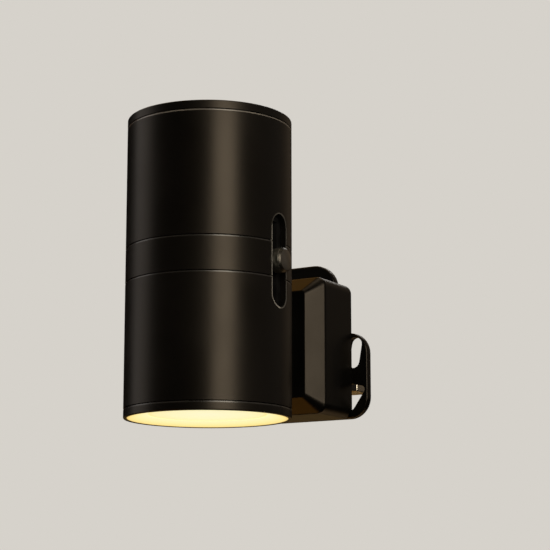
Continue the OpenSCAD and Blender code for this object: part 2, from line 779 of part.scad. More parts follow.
module clamp_plate() {
    color("#9a9da2") difference() {
        translate([0, tube_y, cover_z]) linear_extrude(clamp_h, center = true) intersection() {
            circle(bore_r - fit_gap);
            translate([-clamp_w / 2, clamp_inner_y]) square([clamp_w, clamp_t + over]);
        }
        neck_holes(tube_y + bore_r + over, clamp_t + 2 * over);
    }
}

// ---- Lamp tube ----

// Cutter for a turned groove of triangular section at height z
module groove_cutter(z) {
    mouth = groove_w * (1 + over / groove_depth);
    rotate_extrude() polygon([
        [tube_r - groove_depth, z], [tube_r + over, z - mouth / 2], [tube_r + over, z + mouth / 2]
    ]);
}

// Cutter for the slider's slot, with a bevelled mouth
module slot_cutter() {
    run = slot_len - slot_w;
    mouth_x = sqrt(tube_r * tube_r - slot_w * slot_w / 4);
    wide = slot_w / 2 + 2 * slot_bevel;
    rotate([90, 0, 90]) linear_extrude(tube_r + over) upright_slot(slot_w, slot_len);
    translate([mouth_x - slot_bevel, 0, 0]) {
        for (s = [-1, 1]) translate([0, 0, s * run / 2])
            rotate([0, 90, 0]) cylinder(h = 2 * slot_bevel, r1 = slot_w / 2, r2 = wide);
        linear_extrude(run, center = true)
            polygon([[0, -slot_w / 2], [2 * slot_bevel, -wide], [2 * slot_bevel, wide], [0, slot_w / 2]]);
    }
}

module body_tube() {
    color("#161618") difference() {
        lamp_middle() difference() {
            rotate_extrude($fn = 160) polygon([
                [bore_r, -tube_half], [tube_r - groove_depth, -tube_half],
                [tube_r, groove_w / 2 - tube_half], [tube_r, tube_half - groove_w / 2],
                [tube_r - groove_depth, tube_half], [bore_r, tube_half]
            ]);
            for (s = [-1, 1]) groove_cutter(s * band_h / 2);
            slot_cutter();
        }
        neck_holes(tube_y + tube_r + over, tube_wall + 2 * over);
    }
}

// ---- Lamp ends ----

module bezel(upper) {
    lead_in = 0.3;
    color("#161618") lamp_end(upper) rotate_extrude($fn = 160) polygon([
        [spigot_bore_r, -spigot_len], [spigot_r - lead_in, -spigot_len],
        [spigot_r, lead_in - spigot_len], [spigot_r, 0],
        [tube_r - groove_depth, 0], [tube_r, groove_w / 2], [tube_r, bezel_h - bezel_bevel],
        [tube_r - bezel_bevel, bezel_h], [bezel_bore_r, bezel_h], [bezel_bore_r, bezel_flange_t],
        [spigot_bore_r, bezel_flange_t]
    ]);
}

// Cone that falls from the bezel's lip to the lens
module shade_ring(upper) {
    outer = bezel_bore_r - fit_gap;
    rim_drop = 0.15;
    rim_flat = 0.3;
    rim_z = bezel_h - rim_drop;
    color("#e9dfc2") lamp_end(upper) rotate_extrude() polygon([
        [window_d / 2, lens_top], [spigot_bore_r, lens_top],
        [spigot_bore_r, bezel_flange_t], [outer, bezel_flange_t],
        [outer, rim_z], [outer - rim_flat, rim_z], [window_d / 2, lens_top + shade_edge_t]
    ]);
}

module lens(upper) {
    color("#fff6d8") lamp_end(upper) rotate_extrude() polygon([
        [0, lens_back], [lens_r, lens_back], [lens_r, lens_top], [0, lens_top]
    ]);
}

module reflector(upper) {
    throat = reflector_throat_d / 2;
    rim = lens_r - reflector_wall;
    foot_h = 0.4;
    lip_h = 1.2;
    color("#f2f0ea") lamp_end(upper) translate([0, 0, led_board_top]) rotate_extrude() polygon([
        [throat, 0], [throat + reflector_wall, 0], [throat + reflector_wall, foot_h],
        [lens_r, reflector_h - lip_h], [lens_r, reflector_h],
        [rim, reflector_h], [rim, reflector_h - lip_h], [throat, foot_h]
    ]);
}

module led_board(upper) {
    color("#e8e8e4") lamp_end(upper) translate([0, 0, led_board_back])
        linear_extrude(led_board_t) difference() {
            circle(led_board_r);
            board_screw_places() circle(d = board_screw_d + 2 * screw_gap);
        }
}

module board_screw_places() {
    for (a = [30, 150, 270]) rotate(a) translate([board_screw_ring, 0]) children();
}

module leds(upper) {
    color("#f4d35e") lamp_end(upper) translate([0, 0, led_board_top]) {
        translate([0, 0, led_h / 2]) cube([led_w, led_w, led_h], center = true);
        for (i = [0 : led_count - 1]) rotate(i * 360 / led_count)
            translate([led_ring, 0, led_h / 2]) cube([led_w, led_w, led_h], center = true);
    }
}

module board_screws(upper) {
    end_cover = 0.6;
    color("#8c8f94") lamp_end(upper) translate([0, 0, led_board_top])
        board_screw_places()
            screw(board_screw_d, led_board_t + disc_t - end_cover, board_screw_head_d, board_screw_head_h);
}

// ---- Inner frame ----

module frame_disc(upper) {
    lead_y = dimmer_board_y - lead_d / 2;
    lamp_end(upper) translate([0, 0, disc_back]) linear_extrude(disc_t) difference() {
        circle(disc_r);
        board_screw_places() circle(d = board_screw_d + 2 * screw_gap);
        translate([0, lead_y])
            square([lead_gap + lead_d + 2 * lead_clear, lead_d + 2 * lead_clear], center = true);
    }
}

module inner_frame() {
    post_h = 2 * (tube_half + disc_back) + 2 * eps;
    pot_plate_margin = 1.5;
    rail_y = dimmer_board_y + board_t / 2;
    color("#a9abae") {
        frame_disc(true);
        frame_disc(false);
        lamp_middle() {
            translate([pot_plate_x + pot_plate_t / 2, 0, 0])
                cube([pot_plate_t, pot_w + 2 * pot_plate_margin, post_h], center = true);
            for (s = [-1, 1]) difference() {
                translate([s * (rail_x + rail_w / 2), rail_y, 0])
                    cube([rail_w, rail_depth, post_h], center = true);
                translate([0, rail_y, 0])
                    cube([dimmer_board_w + 2 * fit_gap, board_t + 2 * fit_gap, dimmer_board_h + 2 * fit_gap],
                         center = true);
            }
        }
    }
}

// ---- Dimmer ----

module dimmer_board() {
    color("#2f6b3c") lamp_middle() translate([0, dimmer_board_y + board_t / 2, 0])
        cube([dimmer_board_w, board_t, dimmer_board_h], center = true);
}

module slot_liner() {
    len = slot_len + 2 * liner_lap;
    color("#242427") lamp_middle() difference() {
        linear_extrude(len, center = true) intersection() {
            difference() {
                circle(liner_r);
                circle(liner_bore_r);
            }
            translate([0, -liner_w / 2]) square([liner_r + over, liner_w]);
        }
        translate([liner_bore_r, 0, 0]) cube([4 * liner_t, slit_w, slit_len], center = true);
    }
}

module pot_case() {
    color("#9da1a6") lamp_middle() difference() {
        translate([pot_back_x + pot_depth / 2, 0, 0]) cube([pot_depth, pot_w, pot_len], center = true);
        translate([pot_back_x - pot_wall, -pot_w / 2 + pot_wall, -pot_len / 2 + pot_wall])
            cube([pot_depth, pot_w - 2 * pot_wall, pot_len - 2 * pot_wall]);
        translate([pot_front_x, 0, 0]) cube([4 * pot_wall, slit_w, slit_len], center = true);
    }
}

module pot_track() {
    color("#6b3a1e") lamp_middle() translate([pot_back_x + track_t / 2, 0, 0])
        cube([track_t, pot_w - 2 * (pot_wall + fit_gap), pot_len - 2 * (pot_wall + fit_gap)], center = true);
}

module pot_leads() {
    lead_run = dimmer_board_y - pot_w / 2;
    color("#c05a2a") lamp_middle() for (i = [-1 : 1])
        translate([pot_back_x + pot_lead_d / 2 + fit_gap, pot_w / 2, i * pot_lead_pitch])
            rotate([-90, 0, 0]) cylinder(h = lead_run, d = pot_lead_d);
}

// The block that slides on the track, and the lever that reaches out to the knob
module wiper_carrier() {
    block_x0 = pot_back_x + track_t + slide_gap;
    block_x1 = pot_front_x - pot_wall - slide_gap;
    block_w = pot_w - 2 * (pot_wall + slide_gap);
    color("#3c3c40") lamp_middle() {
        translate([(block_x0 + block_x1) / 2, 0, 0])
            cube([block_x1 - block_x0, block_w, wiper_len], center = true);
        translate([(block_x1 - over + lever_end_x) / 2, 0, 0])
            cube([lever_end_x - block_x1 + over, lever_t, lever_h], center = true);
    }
}

// Barrel that fills the slot's width, a narrow waist and a bevelled cap, spun about the x axis
module slider_knob() {
    r = knob_d / 2;
    waist_r = r - waist_depth;
    edge = 0.15;
    socket_w = lever_t + 2 * screw_gap;
    socket_h = lever_h + 2 * screw_gap;
    color("#55565a") lamp_middle() difference() {
        rotate([0, 90, 0]) rotate_extrude() polygon([
            [0, barrel_back_x], [r - edge, barrel_back_x], [r, barrel_back_x + edge],
            [r, barrel_front_x - edge], [r - edge, barrel_front_x],
            [waist_r, barrel_front_x], [waist_r, cap_back_x],
            [r - edge, cap_back_x], [r, cap_back_x + edge],
            [r, cap_front_x - cap_bevel], [r - cap_bevel, cap_front_x], [0, cap_front_x]
        ]);
        translate([barrel_back_x - over, -socket_w / 2, -socket_h / 2])
            cube([lever_end_x + screw_gap - barrel_back_x + over, socket_w, socket_h]);
    }
}

// ---- Internal leads ----

module supply_leads() {
    color("#8a2320") for (s = [-1, 1])
        plate_y(board_front_y, board_front_y - (tube_y + dimmer_board_back_y))
            translate([s * lead_gap / 2, cover_z]) circle(d = lead_d);
}

// Pair of leads from the dimmer board's face, past the frame, to the back of an LED board
module lamp_leads(upper) {
    lap = 4;
    lead_y = dimmer_board_y - lead_d / 2;
    len = tube_half + led_board_back - dimmer_board_h / 2 + lap;
    color("#8a2320") lamp_end(upper) translate([0, lead_y, led_board_back - len])
        for (s = [-1, 1]) translate([s * lead_gap / 2, 0, 0]) cylinder(h = len, d = lead_d);
}

module upper_bezel() { bezel(true); }
module upper_shade_ring() { shade_ring(true); }
module upper_lens() { lens(true); }
module upper_reflector() { reflector(true); }
module upper_led_board() { led_board(true); }
module upper_leds() { leds(true); }
module upper_board_screws() { board_screws(true); }
module upper_lamp_leads() { lamp_leads(true); }
module lower_bezel() { bezel(false); }
module lower_shade_ring() { shade_ring(false); }
module lower_lens() { lens(false); }
module lower_reflector() { reflector(false); }
module lower_led_board() { led_board(false); }
module lower_leds() { leds(false); }
module lower_board_screws() { board_screws(false); }
module lower_lamp_leads() { lamp_leads(false); }

plug_base();
plug_cover();
earth_pin();
live_pin();
neutral_pin();
live_sleeve();
neutral_sleeve();
contact_tags();
base_screws();
driver_board();
transformer_core();
transformer_winding();
input_capacitor();
output_capacitor();
choke();
driver_chips();
fuse_resistor();
neck();
neck_screws();
clamp_plate();
body_tube();
upper_bezel();
upper_shade_ring();
upper_lens();
upper_reflector();
upper_led_board();
upper_leds();
upper_board_screws();
lower_bezel();
lower_shade_ring();
lower_lens();
lower_reflector();
lower_led_board();
lower_leds();
lower_board_screws();
inner_frame();
dimmer_board();
slot_liner();
pot_case();
pot_track();
pot_leads();
wiper_carrier();
slider_knob();
supply_leads();
upper_lamp_leads();
lower_lamp_leads();
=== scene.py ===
# %% [markdown]
# # A plug-in night light
# The object is a lamp that hangs in front of its own plug. A black tube throws light up and down the
# wall, a moulded plug housing behind it holds the driver, and a small knob in a slot sets the
# brightness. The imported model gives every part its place. This lesson dresses it: the parts that show
# are made again as fine surfaces, and the ones inside keep their solids and get a finish.

import bmesh
import bpy
import numpy as np
from mathutils import Matrix, Vector
from mathutils.geometry import tessellate_polygon


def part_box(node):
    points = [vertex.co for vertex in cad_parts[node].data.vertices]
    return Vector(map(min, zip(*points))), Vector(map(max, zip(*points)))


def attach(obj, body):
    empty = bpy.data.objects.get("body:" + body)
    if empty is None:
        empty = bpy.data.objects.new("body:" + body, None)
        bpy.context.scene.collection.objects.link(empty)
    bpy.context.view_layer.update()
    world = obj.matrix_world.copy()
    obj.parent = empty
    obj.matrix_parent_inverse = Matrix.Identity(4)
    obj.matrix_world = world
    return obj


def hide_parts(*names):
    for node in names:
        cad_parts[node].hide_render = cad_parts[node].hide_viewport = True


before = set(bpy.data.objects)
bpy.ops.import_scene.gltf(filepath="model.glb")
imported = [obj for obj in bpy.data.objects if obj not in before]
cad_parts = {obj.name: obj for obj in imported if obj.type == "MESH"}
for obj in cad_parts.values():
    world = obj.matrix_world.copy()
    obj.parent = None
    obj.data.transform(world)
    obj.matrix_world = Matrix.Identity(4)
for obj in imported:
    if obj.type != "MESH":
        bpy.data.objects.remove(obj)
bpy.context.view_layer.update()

# %% [markdown]
# ## Sizes
# All shapes are worked out in millimetres and turned to metres once, when a piece is made. A place
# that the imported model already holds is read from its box, so the surfaces fit the solids.

# %% Read the places of the main parts
MM = 0.001


def corners(node):
    """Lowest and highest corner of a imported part, in millimetres."""
    low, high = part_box(node)
    return np.array(low) / MM, np.array(high) / MM


tube_low, tube_high = corners("body_tube")
TUBE_R = (tube_high[0] - tube_low[0]) / 2
TUBE_Y = (tube_low[1] + tube_high[1]) / 2
TUBE_Z = (tube_low[2] + tube_high[2]) / 2
TUBE_HALF = (tube_high[2] - tube_low[2]) / 2
cover_low, cover_high = corners("plug_cover")
COVER_Z = (cover_low[2] + cover_high[2]) / 2
base_low, base_high = corners("plug_base")
knob_low, knob_high = corners("slider_knob")
print("tube radius", round(TUBE_R, 2), "axis y", round(TUBE_Y, 2), "middle z", round(TUBE_Z, 2))

# %% [markdown]
# ## Camera
# The lamp is seen from its right and a little from below, so the slot, the lower lens and the bevelled
# side of the housing all show. A long lens on a near camera keeps the tube's sides almost upright.
# The camera's axes are worked out from how far it turns to the left and how far it tips up, both in
# radians.

# %% Place the camera
TURN, TIP = 0.5317, 0.1933
STANDS_AT = Vector((256.09, -451.04, -78.77)) * MM
FOCAL_LENGTH = 112.86
looking = Vector((-np.sin(TURN) * np.cos(TIP), np.cos(TURN) * np.cos(TIP), np.sin(TIP)))
to_right = Vector((np.cos(TURN), np.sin(TURN), 0))
upwards = to_right.cross(looking)
camera = bpy.data.objects.new("camera", bpy.data.cameras.new("camera"))
camera.data.sensor_width = 36
camera.data.lens = FOCAL_LENGTH
camera.data.clip_start = 0.01
turned_axes = Matrix((to_right, upwards, -looking)).transposed().to_4x4()
camera.matrix_world = Matrix.Translation(STANDS_AT) @ turned_axes
bpy.context.scene.collection.objects.link(camera)
bpy.context.scene.camera = camera
bpy.context.scene.view_settings.view_transform = "Standard"
print("camera at", [round(v, 3) for v in camera.location])

# %% [markdown]
# ## Colours and nodes
# A hex colour says how a surface looks on a screen, but a shader works with amounts of light, so one
# function turns the first into the second. A second small function adds a node with its settings and
# its links in one line, which keeps each finish below short enough to read.

# %% Turn hex colours to light, and add nodes


def linear(code):
    """Amounts of red, green and blue light for an sRGB hex value v: v / 12.92 when dark, otherwise
    ((v + 0.055) / 1.055) to the power 2.4."""
    v = np.array([int(code[i : i + 2], 16) for i in (0, 2, 4)]) / 255
    return (*np.where(v <= 0.04045, v / 12.92, ((v + 0.055) / 1.055) ** 2.4).tolist(), 1.0)


def add(tree, kind, inputs=None, stops=(), **settings):
    """Adds one node. Each input gets a value, or a link where it is given another node's output. A
    colour ramp also gets (place, hex colour) stops. Its two ends go in first, the last one before the
    first, because Blender sorts the marks again each time one moves."""
    node = tree.nodes.new(kind)
    for name, value in settings.items():
        setattr(node, name, value)
    for name, value in (inputs or {}).items():
        if isinstance(value, bpy.types.NodeSocket):
            tree.links.new(value, node.inputs[name])
        else:
            node.inputs[name].default_value = value
    if stops:
        marks = node.color_ramp.elements
        for mark, (place, code) in ((marks[1], stops[-1]), (marks[0], stops[0])):
            mark.position = place
            mark.color = linear(code)
        for place, code in stops[1:-1]:
            marks.new(place).color = linear(code)
    return node


def start(name, **sockets):
    """A new material with one Principled shader, whose plain sockets are set by name."""
    material = bpy.data.materials.new(name)
    material.use_nodes = True
    tree = material.node_tree
    shader = tree.nodes["Principled BSDF"]
    for socket, value in sockets.items():
        shader.inputs[socket.replace("_", " ")].default_value = value
    place = add(tree, "ShaderNodeTexCoord").outputs["Object"]
    return material, tree, shader, place


print("white is", linear("ffffff"), "and mid grey", np.round(linear("808080"), 3))

# %% [markdown]
# ## A finish with grain
# Nearly every finish on this lamp is one colour that varies a little, with a fine grain that catches
# the light. The grain's height comes from noise whose size is given in millimetres, and a slower noise
# shifts colour and roughness as handling, moulding and plating do. A step of the render covers about
# 0.28 mm, so a grain that is finer than that is drawn at about 0.4 mm. One helper links the three
# sockets that every finish varies: colour, roughness and bump.

# %% Make grained finishes


def dress(tree, shader, body, gloss, relief):
    """Links a shader's colour, roughness and bump. Body is (pattern, edge, dark, light): the colour
    runs from dark to light as the pattern goes from edge to 1 - edge. Gloss is (pattern, edge, smooth,
    rough) and works the same way. Relief is (pattern, height in millimetres)."""
    pattern, edge, dark, light = body
    stops = (edge, dark), (1 - edge, light)
    colour = add(tree, "ShaderNodeValToRGB", {"Fac": pattern}, stops=stops)
    pattern, edge, smooth, rough = gloss
    spread = add(tree, "ShaderNodeMapRange", {
        "Value": pattern, "From Min": edge, "From Max": 1 - edge, "To Min": smooth, "To Max": rough})
    pattern, height = relief
    bump = add(tree, "ShaderNodeBump", {"Height": pattern, "Distance": height * MM})
    tree.links.new(colour.outputs["Color"], shader.inputs["Base Color"])
    tree.links.new(spread.outputs["Result"], shader.inputs["Roughness"])
    tree.links.new(bump.outputs["Normal"], shader.inputs["Normal"])


def grained(name, dark, light, rough, grain, height, patch=12.0, **sockets):
    """A finish whose colour runs from dark to light over patches of the given size in millimetres,
    with roughness between the two values in rough, and a grain of the given size and height."""
    material, tree, shader, place = start(name, **sockets)
    slow = add(tree, "ShaderNodeTexNoise", {"Vector": place, "Scale": 1 / (patch * MM), "Detail": 3.0})
    fine = add(tree, "ShaderNodeTexNoise", {"Vector": place, "Scale": 1 / (grain * MM), "Detail": 2.0})
    patches, grains = slow.outputs["Fac"], fine.outputs["Fac"]
    dress(tree, shader, (patches, 0.35, dark, light), (patches, 0.35, *rough), (grains, height))
    return material


# Black anodised aluminium: turned, bead-blasted and dyed, so it has one broad soft highlight
tube_black = grained("anodised aluminium, satin black", "0a0908", "0d0c0b", (0.33, 0.37), 0.45, 0.002,
                     patch=18, Specular_IOR_Level=0.25, Specular_Tint=linear("fff1e0"))
# Black ABS: moulded against a spark-eroded steel face, which leaves a fine even grain
moulded_black = grained("ABS plastic, moulded black", "040404", "070706", (0.28, 0.34), 0.45, 0.004,
                        patch=9, Specular_IOR_Level=0.2, Specular_Tint=linear("fff1e0"))
# Black nylon: earth pin and sleeves, a little softer and greyer than the housing
nylon_black = grained("nylon, moulded black", "141416", "1b1b1d", (0.45, 0.55), 0.4, 0.004, patch=5)
# The face that meets the socket has the mould's coarse spark-eroded texture, so it is matt; its greyer
# colour is painted light that lifts a face the lamps hardly reach
rear_face_painted_light = grained("ABS plastic, spark-textured, painted lighter", "262625", "2f2f2e", (0.6, 0.7), 0.5, 0.02, patch=9)
# Glass-filled nylon: the strip behind the slot, dull with short fibres near the surface
filled_nylon = grained("glass-filled nylon, black", "0a0a0b", "131314", (0.5, 0.62), 0.4, 0.006, patch=3,
                       Specular_IOR_Level=0.15)
# The same aluminium, paler and glossier, along the lower lips of the grooves and the lower joint: a painted
# highlight for the thin light line each lip shows. The upper joint's lip is paler still, a brighter painted
# highlight
lip_painted_highlight = grained("anodised aluminium, lip with painted highlight", "1f1e1d", "282624", (0.26, 0.34), 0.4, 0.002,
                   patch=6, Specular_IOR_Level=0.6)
joint_painted_highlight = grained("anodised aluminium, joint with painted highlight", "5a5652", "6d6963", (0.28, 0.36), 0.4, 0.002,
                    patch=5, Specular_IOR_Level=0.9)
# The same aluminium where the slot's edge was chamfered after dyeing: matt grey oxide, and painted paler
# still as a highlight for the thin light line round the slot. The front side's colour is a brighter painted
# highlight than the far side's
front_chamfer_highlight = grained("anodised aluminium, chamfer with painted highlight", "a3a29f", "aeada9", (0.35, 0.45), 0.4, 0.002,
                   patch=4)
far_chamfer_dim_highlight = grained("anodised aluminium, far chamfer, dimmer painted highlight", "403f3d", "4b4a47", (0.35, 0.45), 0.4, 0.002,
                   patch=4)
print("finishes so far:", [m.name for m in bpy.data.materials])

# %% [markdown]
# ## Metals, light and knob
# The knob is turned from aluminium and dyed dark grey: its cap carries fine rings from the lathe, which
# a wave of rings centred on the knob's axis gives. The pins are brass under bright nickel, rubbed to
# faint lines along their length by the socket. The lens is opal plastic: it glows evenly, a little
# weaker and yellower towards its edge. The ring round it is thin white plastic that glows golden.

# %% Make the knob's finishes
TO_MM = (1 / MM,) * 3
RING_PITCH, RING_HEIGHT = 0.3, 0.003
WAVE_WIDTH = 0.314


def lathe_rings(name, dark, light, rough):
    """Turned metal: rings about the knob's axis. A wave at scale 1 is 2 pi / 20 = 0.314 wide, so that
    width over the rings' pitch in millimetres is the scale."""
    material, tree, shader, place = start(name, Metallic=1.0)
    middle = add(tree, "ShaderNodeMapping", {
        "Vector": place, "Scale": TO_MM, "Location": (-knob_high[0], -TUBE_Y, -TUBE_Z)}).outputs[0]
    waves = add(tree, "ShaderNodeTexWave", {
        "Vector": middle, "Scale": WAVE_WIDTH / RING_PITCH, "Distortion": 0.4, "Detail": 2.0,
        "Detail Scale": 2.0}, wave_type="RINGS", rings_direction="X")
    slow = add(tree, "ShaderNodeTexNoise", {"Vector": middle, "Scale": 0.4, "Detail": 3.0})
    patches, rings = slow.outputs["Fac"], waves.outputs["Fac"]
    dress(tree, shader, (patches, 0.35, dark, light), (rings, 0, *rough), (rings, RING_HEIGHT))
    return material


# Aluminium, turned, anodised and dyed grey: the cap's rings draw a soft sheen across its face
knob_grey = lathe_rings("anodised aluminium, gunmetal", "7d7972", "8f8a82", (0.3, 0.38))
# The barrel's side is turned but not polished, so it is a little duller than the cap
barrel_grey = lathe_rings("anodised aluminium, dark grey", "7a7a74", "868680", (0.36, 0.44))
# The cap's bevel is given the darkest colour of the three: painted shade that draws a dark ring round the
# bright face
knob_bevel_painted_shade = lathe_rings("anodised aluminium, bevel with painted shade", "45433f", "504e4a", (0.34, 0.42))
print("a wave's scale on the knob:", round(WAVE_WIDTH / RING_PITCH, 2))

# %% Make the pins' and the lens's finishes


def plated(name, dark, light, rough):
    """Plated metal with fine lines along y: a noise of three waves to a millimetre across the pin,
    drawn out to one in about 17 mm along it. The colour shifts over about 6 mm."""
    material, tree, shader, place = start(name, Metallic=1.0)
    drawn_out = add(tree, "ShaderNodeMapping", {"Vector": place, "Scale": (3 / MM, 0.06 / MM, 3 / MM)})
    lines = drawn_out.outputs["Vector"]
    rub = add(tree, "ShaderNodeTexNoise", {"Vector": lines, "Scale": 1.0, "Detail": 3.0})
    slow = add(tree, "ShaderNodeTexNoise", {"Vector": place, "Scale": 0.16 / MM, "Detail": 2.0})
    patches, rubs = slow.outputs["Fac"], rub.outputs["Fac"]
    dress(tree, shader, (patches, 0.3, dark, light), (rubs, 0.3, *rough), (rubs, 0.002))
    return material


# Brass under bright nickel: pale and a little warm, with faint lines rubbed along it by the socket
pin_nickel = plated("brass, nickel plated", "b9b2a2", "cfc9bb", (0.2, 0.34))


def glowing(name, body, rough, strength, radius, *stops):
    """Lit plastic: the glow's colour follows the distance from the tube's axis, over a radius in
    millimetres, with faint moulding waves in the surface."""
    material, tree, shader, place = start(name, Emission_Strength=strength)
    middle = add(tree, "ShaderNodeMapping", {
        "Vector": place, "Scale": TO_MM, "Location": (0, -TUBE_Y, 0)}).outputs[0]
    flat = add(tree, "ShaderNodeVectorMath", {0: middle, 1: (1, 1, 0)}, operation="MULTIPLY")
    far = add(tree, "ShaderNodeVectorMath", {0: flat.outputs[0]}, operation="LENGTH")
    share = add(tree, "ShaderNodeMapRange", {"Value": far.outputs["Value"], "From Max": radius})
    glow = add(tree, "ShaderNodeValToRGB", {"Fac": share.outputs["Result"]}, stops=stops)
    tree.links.new(glow.outputs["Color"], shader.inputs["Emission Color"])
    slow = add(tree, "ShaderNodeTexNoise", {"Vector": middle, "Scale": 0.35, "Detail": 2.0})
    waves = slow.outputs["Fac"]
    dress(tree, shader, (waves, 0.3, *body), (waves, 0, rough, rough + 0.1), (waves, 0.01))
    return material


# Opal polycarbonate: its milky filler spreads the light of the LEDs, so the disc glows evenly
opal = glowing("polycarbonate, opal and lit", ("8a8468", "8f886c"), 0.35, 0.875, 20.0,
               (0.0, "fffdd6"), (0.5, "fffbca"), (0.75, "fff6bb"), (0.83, "ffee9e"), (1.0, "fde88e"))
# White polycarbonate: thin enough to pass some light, so it glows golden and dims towards its rim
lit_ring = glowing("polycarbonate, white and lit", ("8c8060", "94886a"), 0.45, 0.92, 23.0,
                   (0.73, "fff8c0"), (0.84, "fff2ac"), (0.93, "ffe794"), (1.0, "c99a40"))
print("glow at the lens's middle:", np.round(linear("fffdd6"), 2))

# %% [markdown]
# ## Shapes as arrays
# Three functions make most of the lamp. `rounded` turns the corners of an outline into arcs.
# `grid` joins rows of points into four-sided faces. `turned` spins an outline about an axis, as a lathe
# would. Each works on whole arrays, so no point is placed one by one.

# %% Write the shape functions
SEGMENTS = 144


def unit(v):
    """Vectors made one long."""
    return v / np.maximum(np.linalg.norm(v, axis=-1, keepdims=True), 1e-12)


def rounded(*outline, steps=6):
    """A closed outline from corners (a, b, radius). Each arc's centre lies on the corner's bisector,
    radius / sin(half the corner's angle) away. Its points turn evenly from one tangent point to the
    other: (sin((1 - t) w) * first + sin(t w) * last) / sin(w) for the arc's angle w."""
    c = np.array(outline, float)
    p, r = c[:, None, :2], c[:, None, 2:]
    before, after = unit(np.roll(p, 1, 0) - p), unit(np.roll(p, -1, 0) - p)
    half = np.arccos(np.clip((before * after).sum(-1, keepdims=True), -1, 1)) / 2
    middle = p + unit(before + after) * r / np.sin(half)
    first, last = p + before * r / np.tan(half) - middle, p + after * r / np.tan(half) - middle
    w, t = np.pi - 2 * half, np.linspace(0, 1, steps + 1)[None, :, None]
    arcs = middle + (np.sin((1 - t) * w) * first + np.sin(t * w) * last) / np.sin(w)
    return arcs.reshape(-1, 2)


def grid(points, closed=False):
    """Points in rows and columns, as a flat list with four-sided faces between them. Closed joins the
    last row to the first. Where a row or column has shrunk to a point, merging closes it."""
    rows, cols = points.shape[:2]
    i = np.arange(rows if closed else rows - 1)[:, None]
    j = np.arange(cols - 1)[None, :]
    k = (i + 1) % rows
    faces = np.stack([i * cols + j, i * cols + j + 1, k * cols + j + 1, k * cols + j], -1)
    return points.reshape(-1, 3), faces.reshape(-1, 4).tolist()


def turned(outline):
    """A closed outline of (radius, height) spun about the tube's axis: x and y are the radius times the
    cosine and sine of the turn."""
    turn = np.linspace(0, 2 * np.pi, SEGMENTS + 1)[None, :]
    r, h = outline[:, 0:1], outline[:, 1:2]
    points = np.stack([r * np.cos(turn), TUBE_Y + r * np.sin(turn), h + 0 * turn], -1)
    return grid(points, closed=True)


def looped(points):
    """Rows of points with the first column repeated at the end, so that the grid goes right round."""
    return np.concatenate([points, points[:, :1]], 1)


square = rounded((0, 0, 2), (10, 0, 2), (10, 10, 2), (0, 10, 2))
print("a 10 mm square with 2 mm corners has", len(square), "points")

# %% [markdown]
# ## From surfaces to a piece
# A piece is one mesh made of surfaces that share their borders. Merging the doubled points closes the
# seams and the poles. All faces are then turned outwards, because bump, glass and other programs go by
# that side. At last the piece is hung on the body it rides on, takes its materials, and hides the
# imported part it replaces.

# %% Turn surfaces into a piece
SHARP = 32


def closed(mesh):
    """Merges points that lie within a thousandth of a millimetre, turns the faces outwards, and counts
    the edges that don't join two faces."""
    work = bmesh.new()
    work.from_mesh(mesh)
    bmesh.ops.remove_doubles(work, verts=work.verts, dist=1e-6)
    bmesh.ops.dissolve_degenerate(work, edges=work.edges, dist=1e-7)
    # An outline that starts and ends on its axis leaves a bare edge there
    bare = [edge for edge in work.edges if not edge.link_faces]
    bmesh.ops.delete(work, geom=bare, context="EDGES")
    bmesh.ops.recalc_face_normals(work, faces=work.faces)
    # The faces agree now, but the volume is negative where all of them point inwards
    if work.calc_volume(signed=True) < 0:
        bmesh.ops.reverse_faces(work, faces=work.faces)
    open_edges = sum(len(edge.link_faces) != 2 for edge in work.edges)
    work.to_mesh(mesh)
    work.free()
    return open_edges


def piece(name, shells, materials, nodes, body="lamp"):
    """One mesh from (points in millimetres, faces) shells, smooth except where faces meet at more than
    the sharp angle. A shell may carry a third part: the number of the material on each of its faces."""
    mesh = bpy.data.meshes.new(name)
    points, faces, finish, count = [], [], [], 0
    for shell, shell_faces, *worn in shells:
        points.append(shell)
        faces += [[k + count for k in face] for face in shell_faces]
        finish += list(worn[0]) if worn else [0] * len(shell_faces)
        count += len(shell)
    mesh.from_pydata((np.concatenate(points) * MM).tolist(), [], faces)
    for material in materials:
        mesh.materials.append(material)
    mesh.polygons.foreach_set("material_index", finish)
    open_edges = closed(mesh)
    mesh.shade_smooth()
    mesh.set_sharp_from_angle(angle=np.radians(SHARP))
    thing = bpy.data.objects.new(name, mesh)
    bpy.context.scene.collection.objects.link(thing)
    thing.modifiers.new("even shading", "WEIGHTED_NORMAL").keep_sharp = True
    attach(thing, body)
    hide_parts(*nodes)
    print(f"{name}: {len(mesh.polygons)} faces, {open_edges} open edges")


print("edges are sharp past", SHARP, "degrees")

# %% [markdown]
# ## The tube
# The real tube is extruded, turned and anodised, with two V grooves round its middle and a milled slot
# for the knob. Cutting the slot with a boolean would leave ragged faces, so the surface is laid out
# around it: every row of the grid runs round the tube from one side of the slot to the other, and rows
# above and below the slot close on themselves. A shallow chamfer then leads from the outside into the
# slot. It was cut after the dye, so it is paler, and its colour is painted paler still: a painted
# highlight that draws the thin light line round the slot. Its front side is painted paler than the far
# one, as a brighter painted highlight.

# %% Lay out the tube round its slot
WALL, BAND = 1.8, 9.8
BORE_R = TUBE_R - WALL
# A groove's corners: heights from its middle, and how far the surface lies below the tube's outside
GROOVE_H = np.array([-0.42, -0.05, 0.08, 0.22])
GROOVE_DROP = np.array([0, 0.07, 0.6, 0])
SLOT_W, SLOT_LEN, LIP_W, LIP_DROP = 7.3, 25.9, 0.35, 0.13
COLUMNS = 181
ends = (SLOT_LEN - SLOT_W) / 2
across = np.linspace(0, 1, COLUMNS)[None, :]


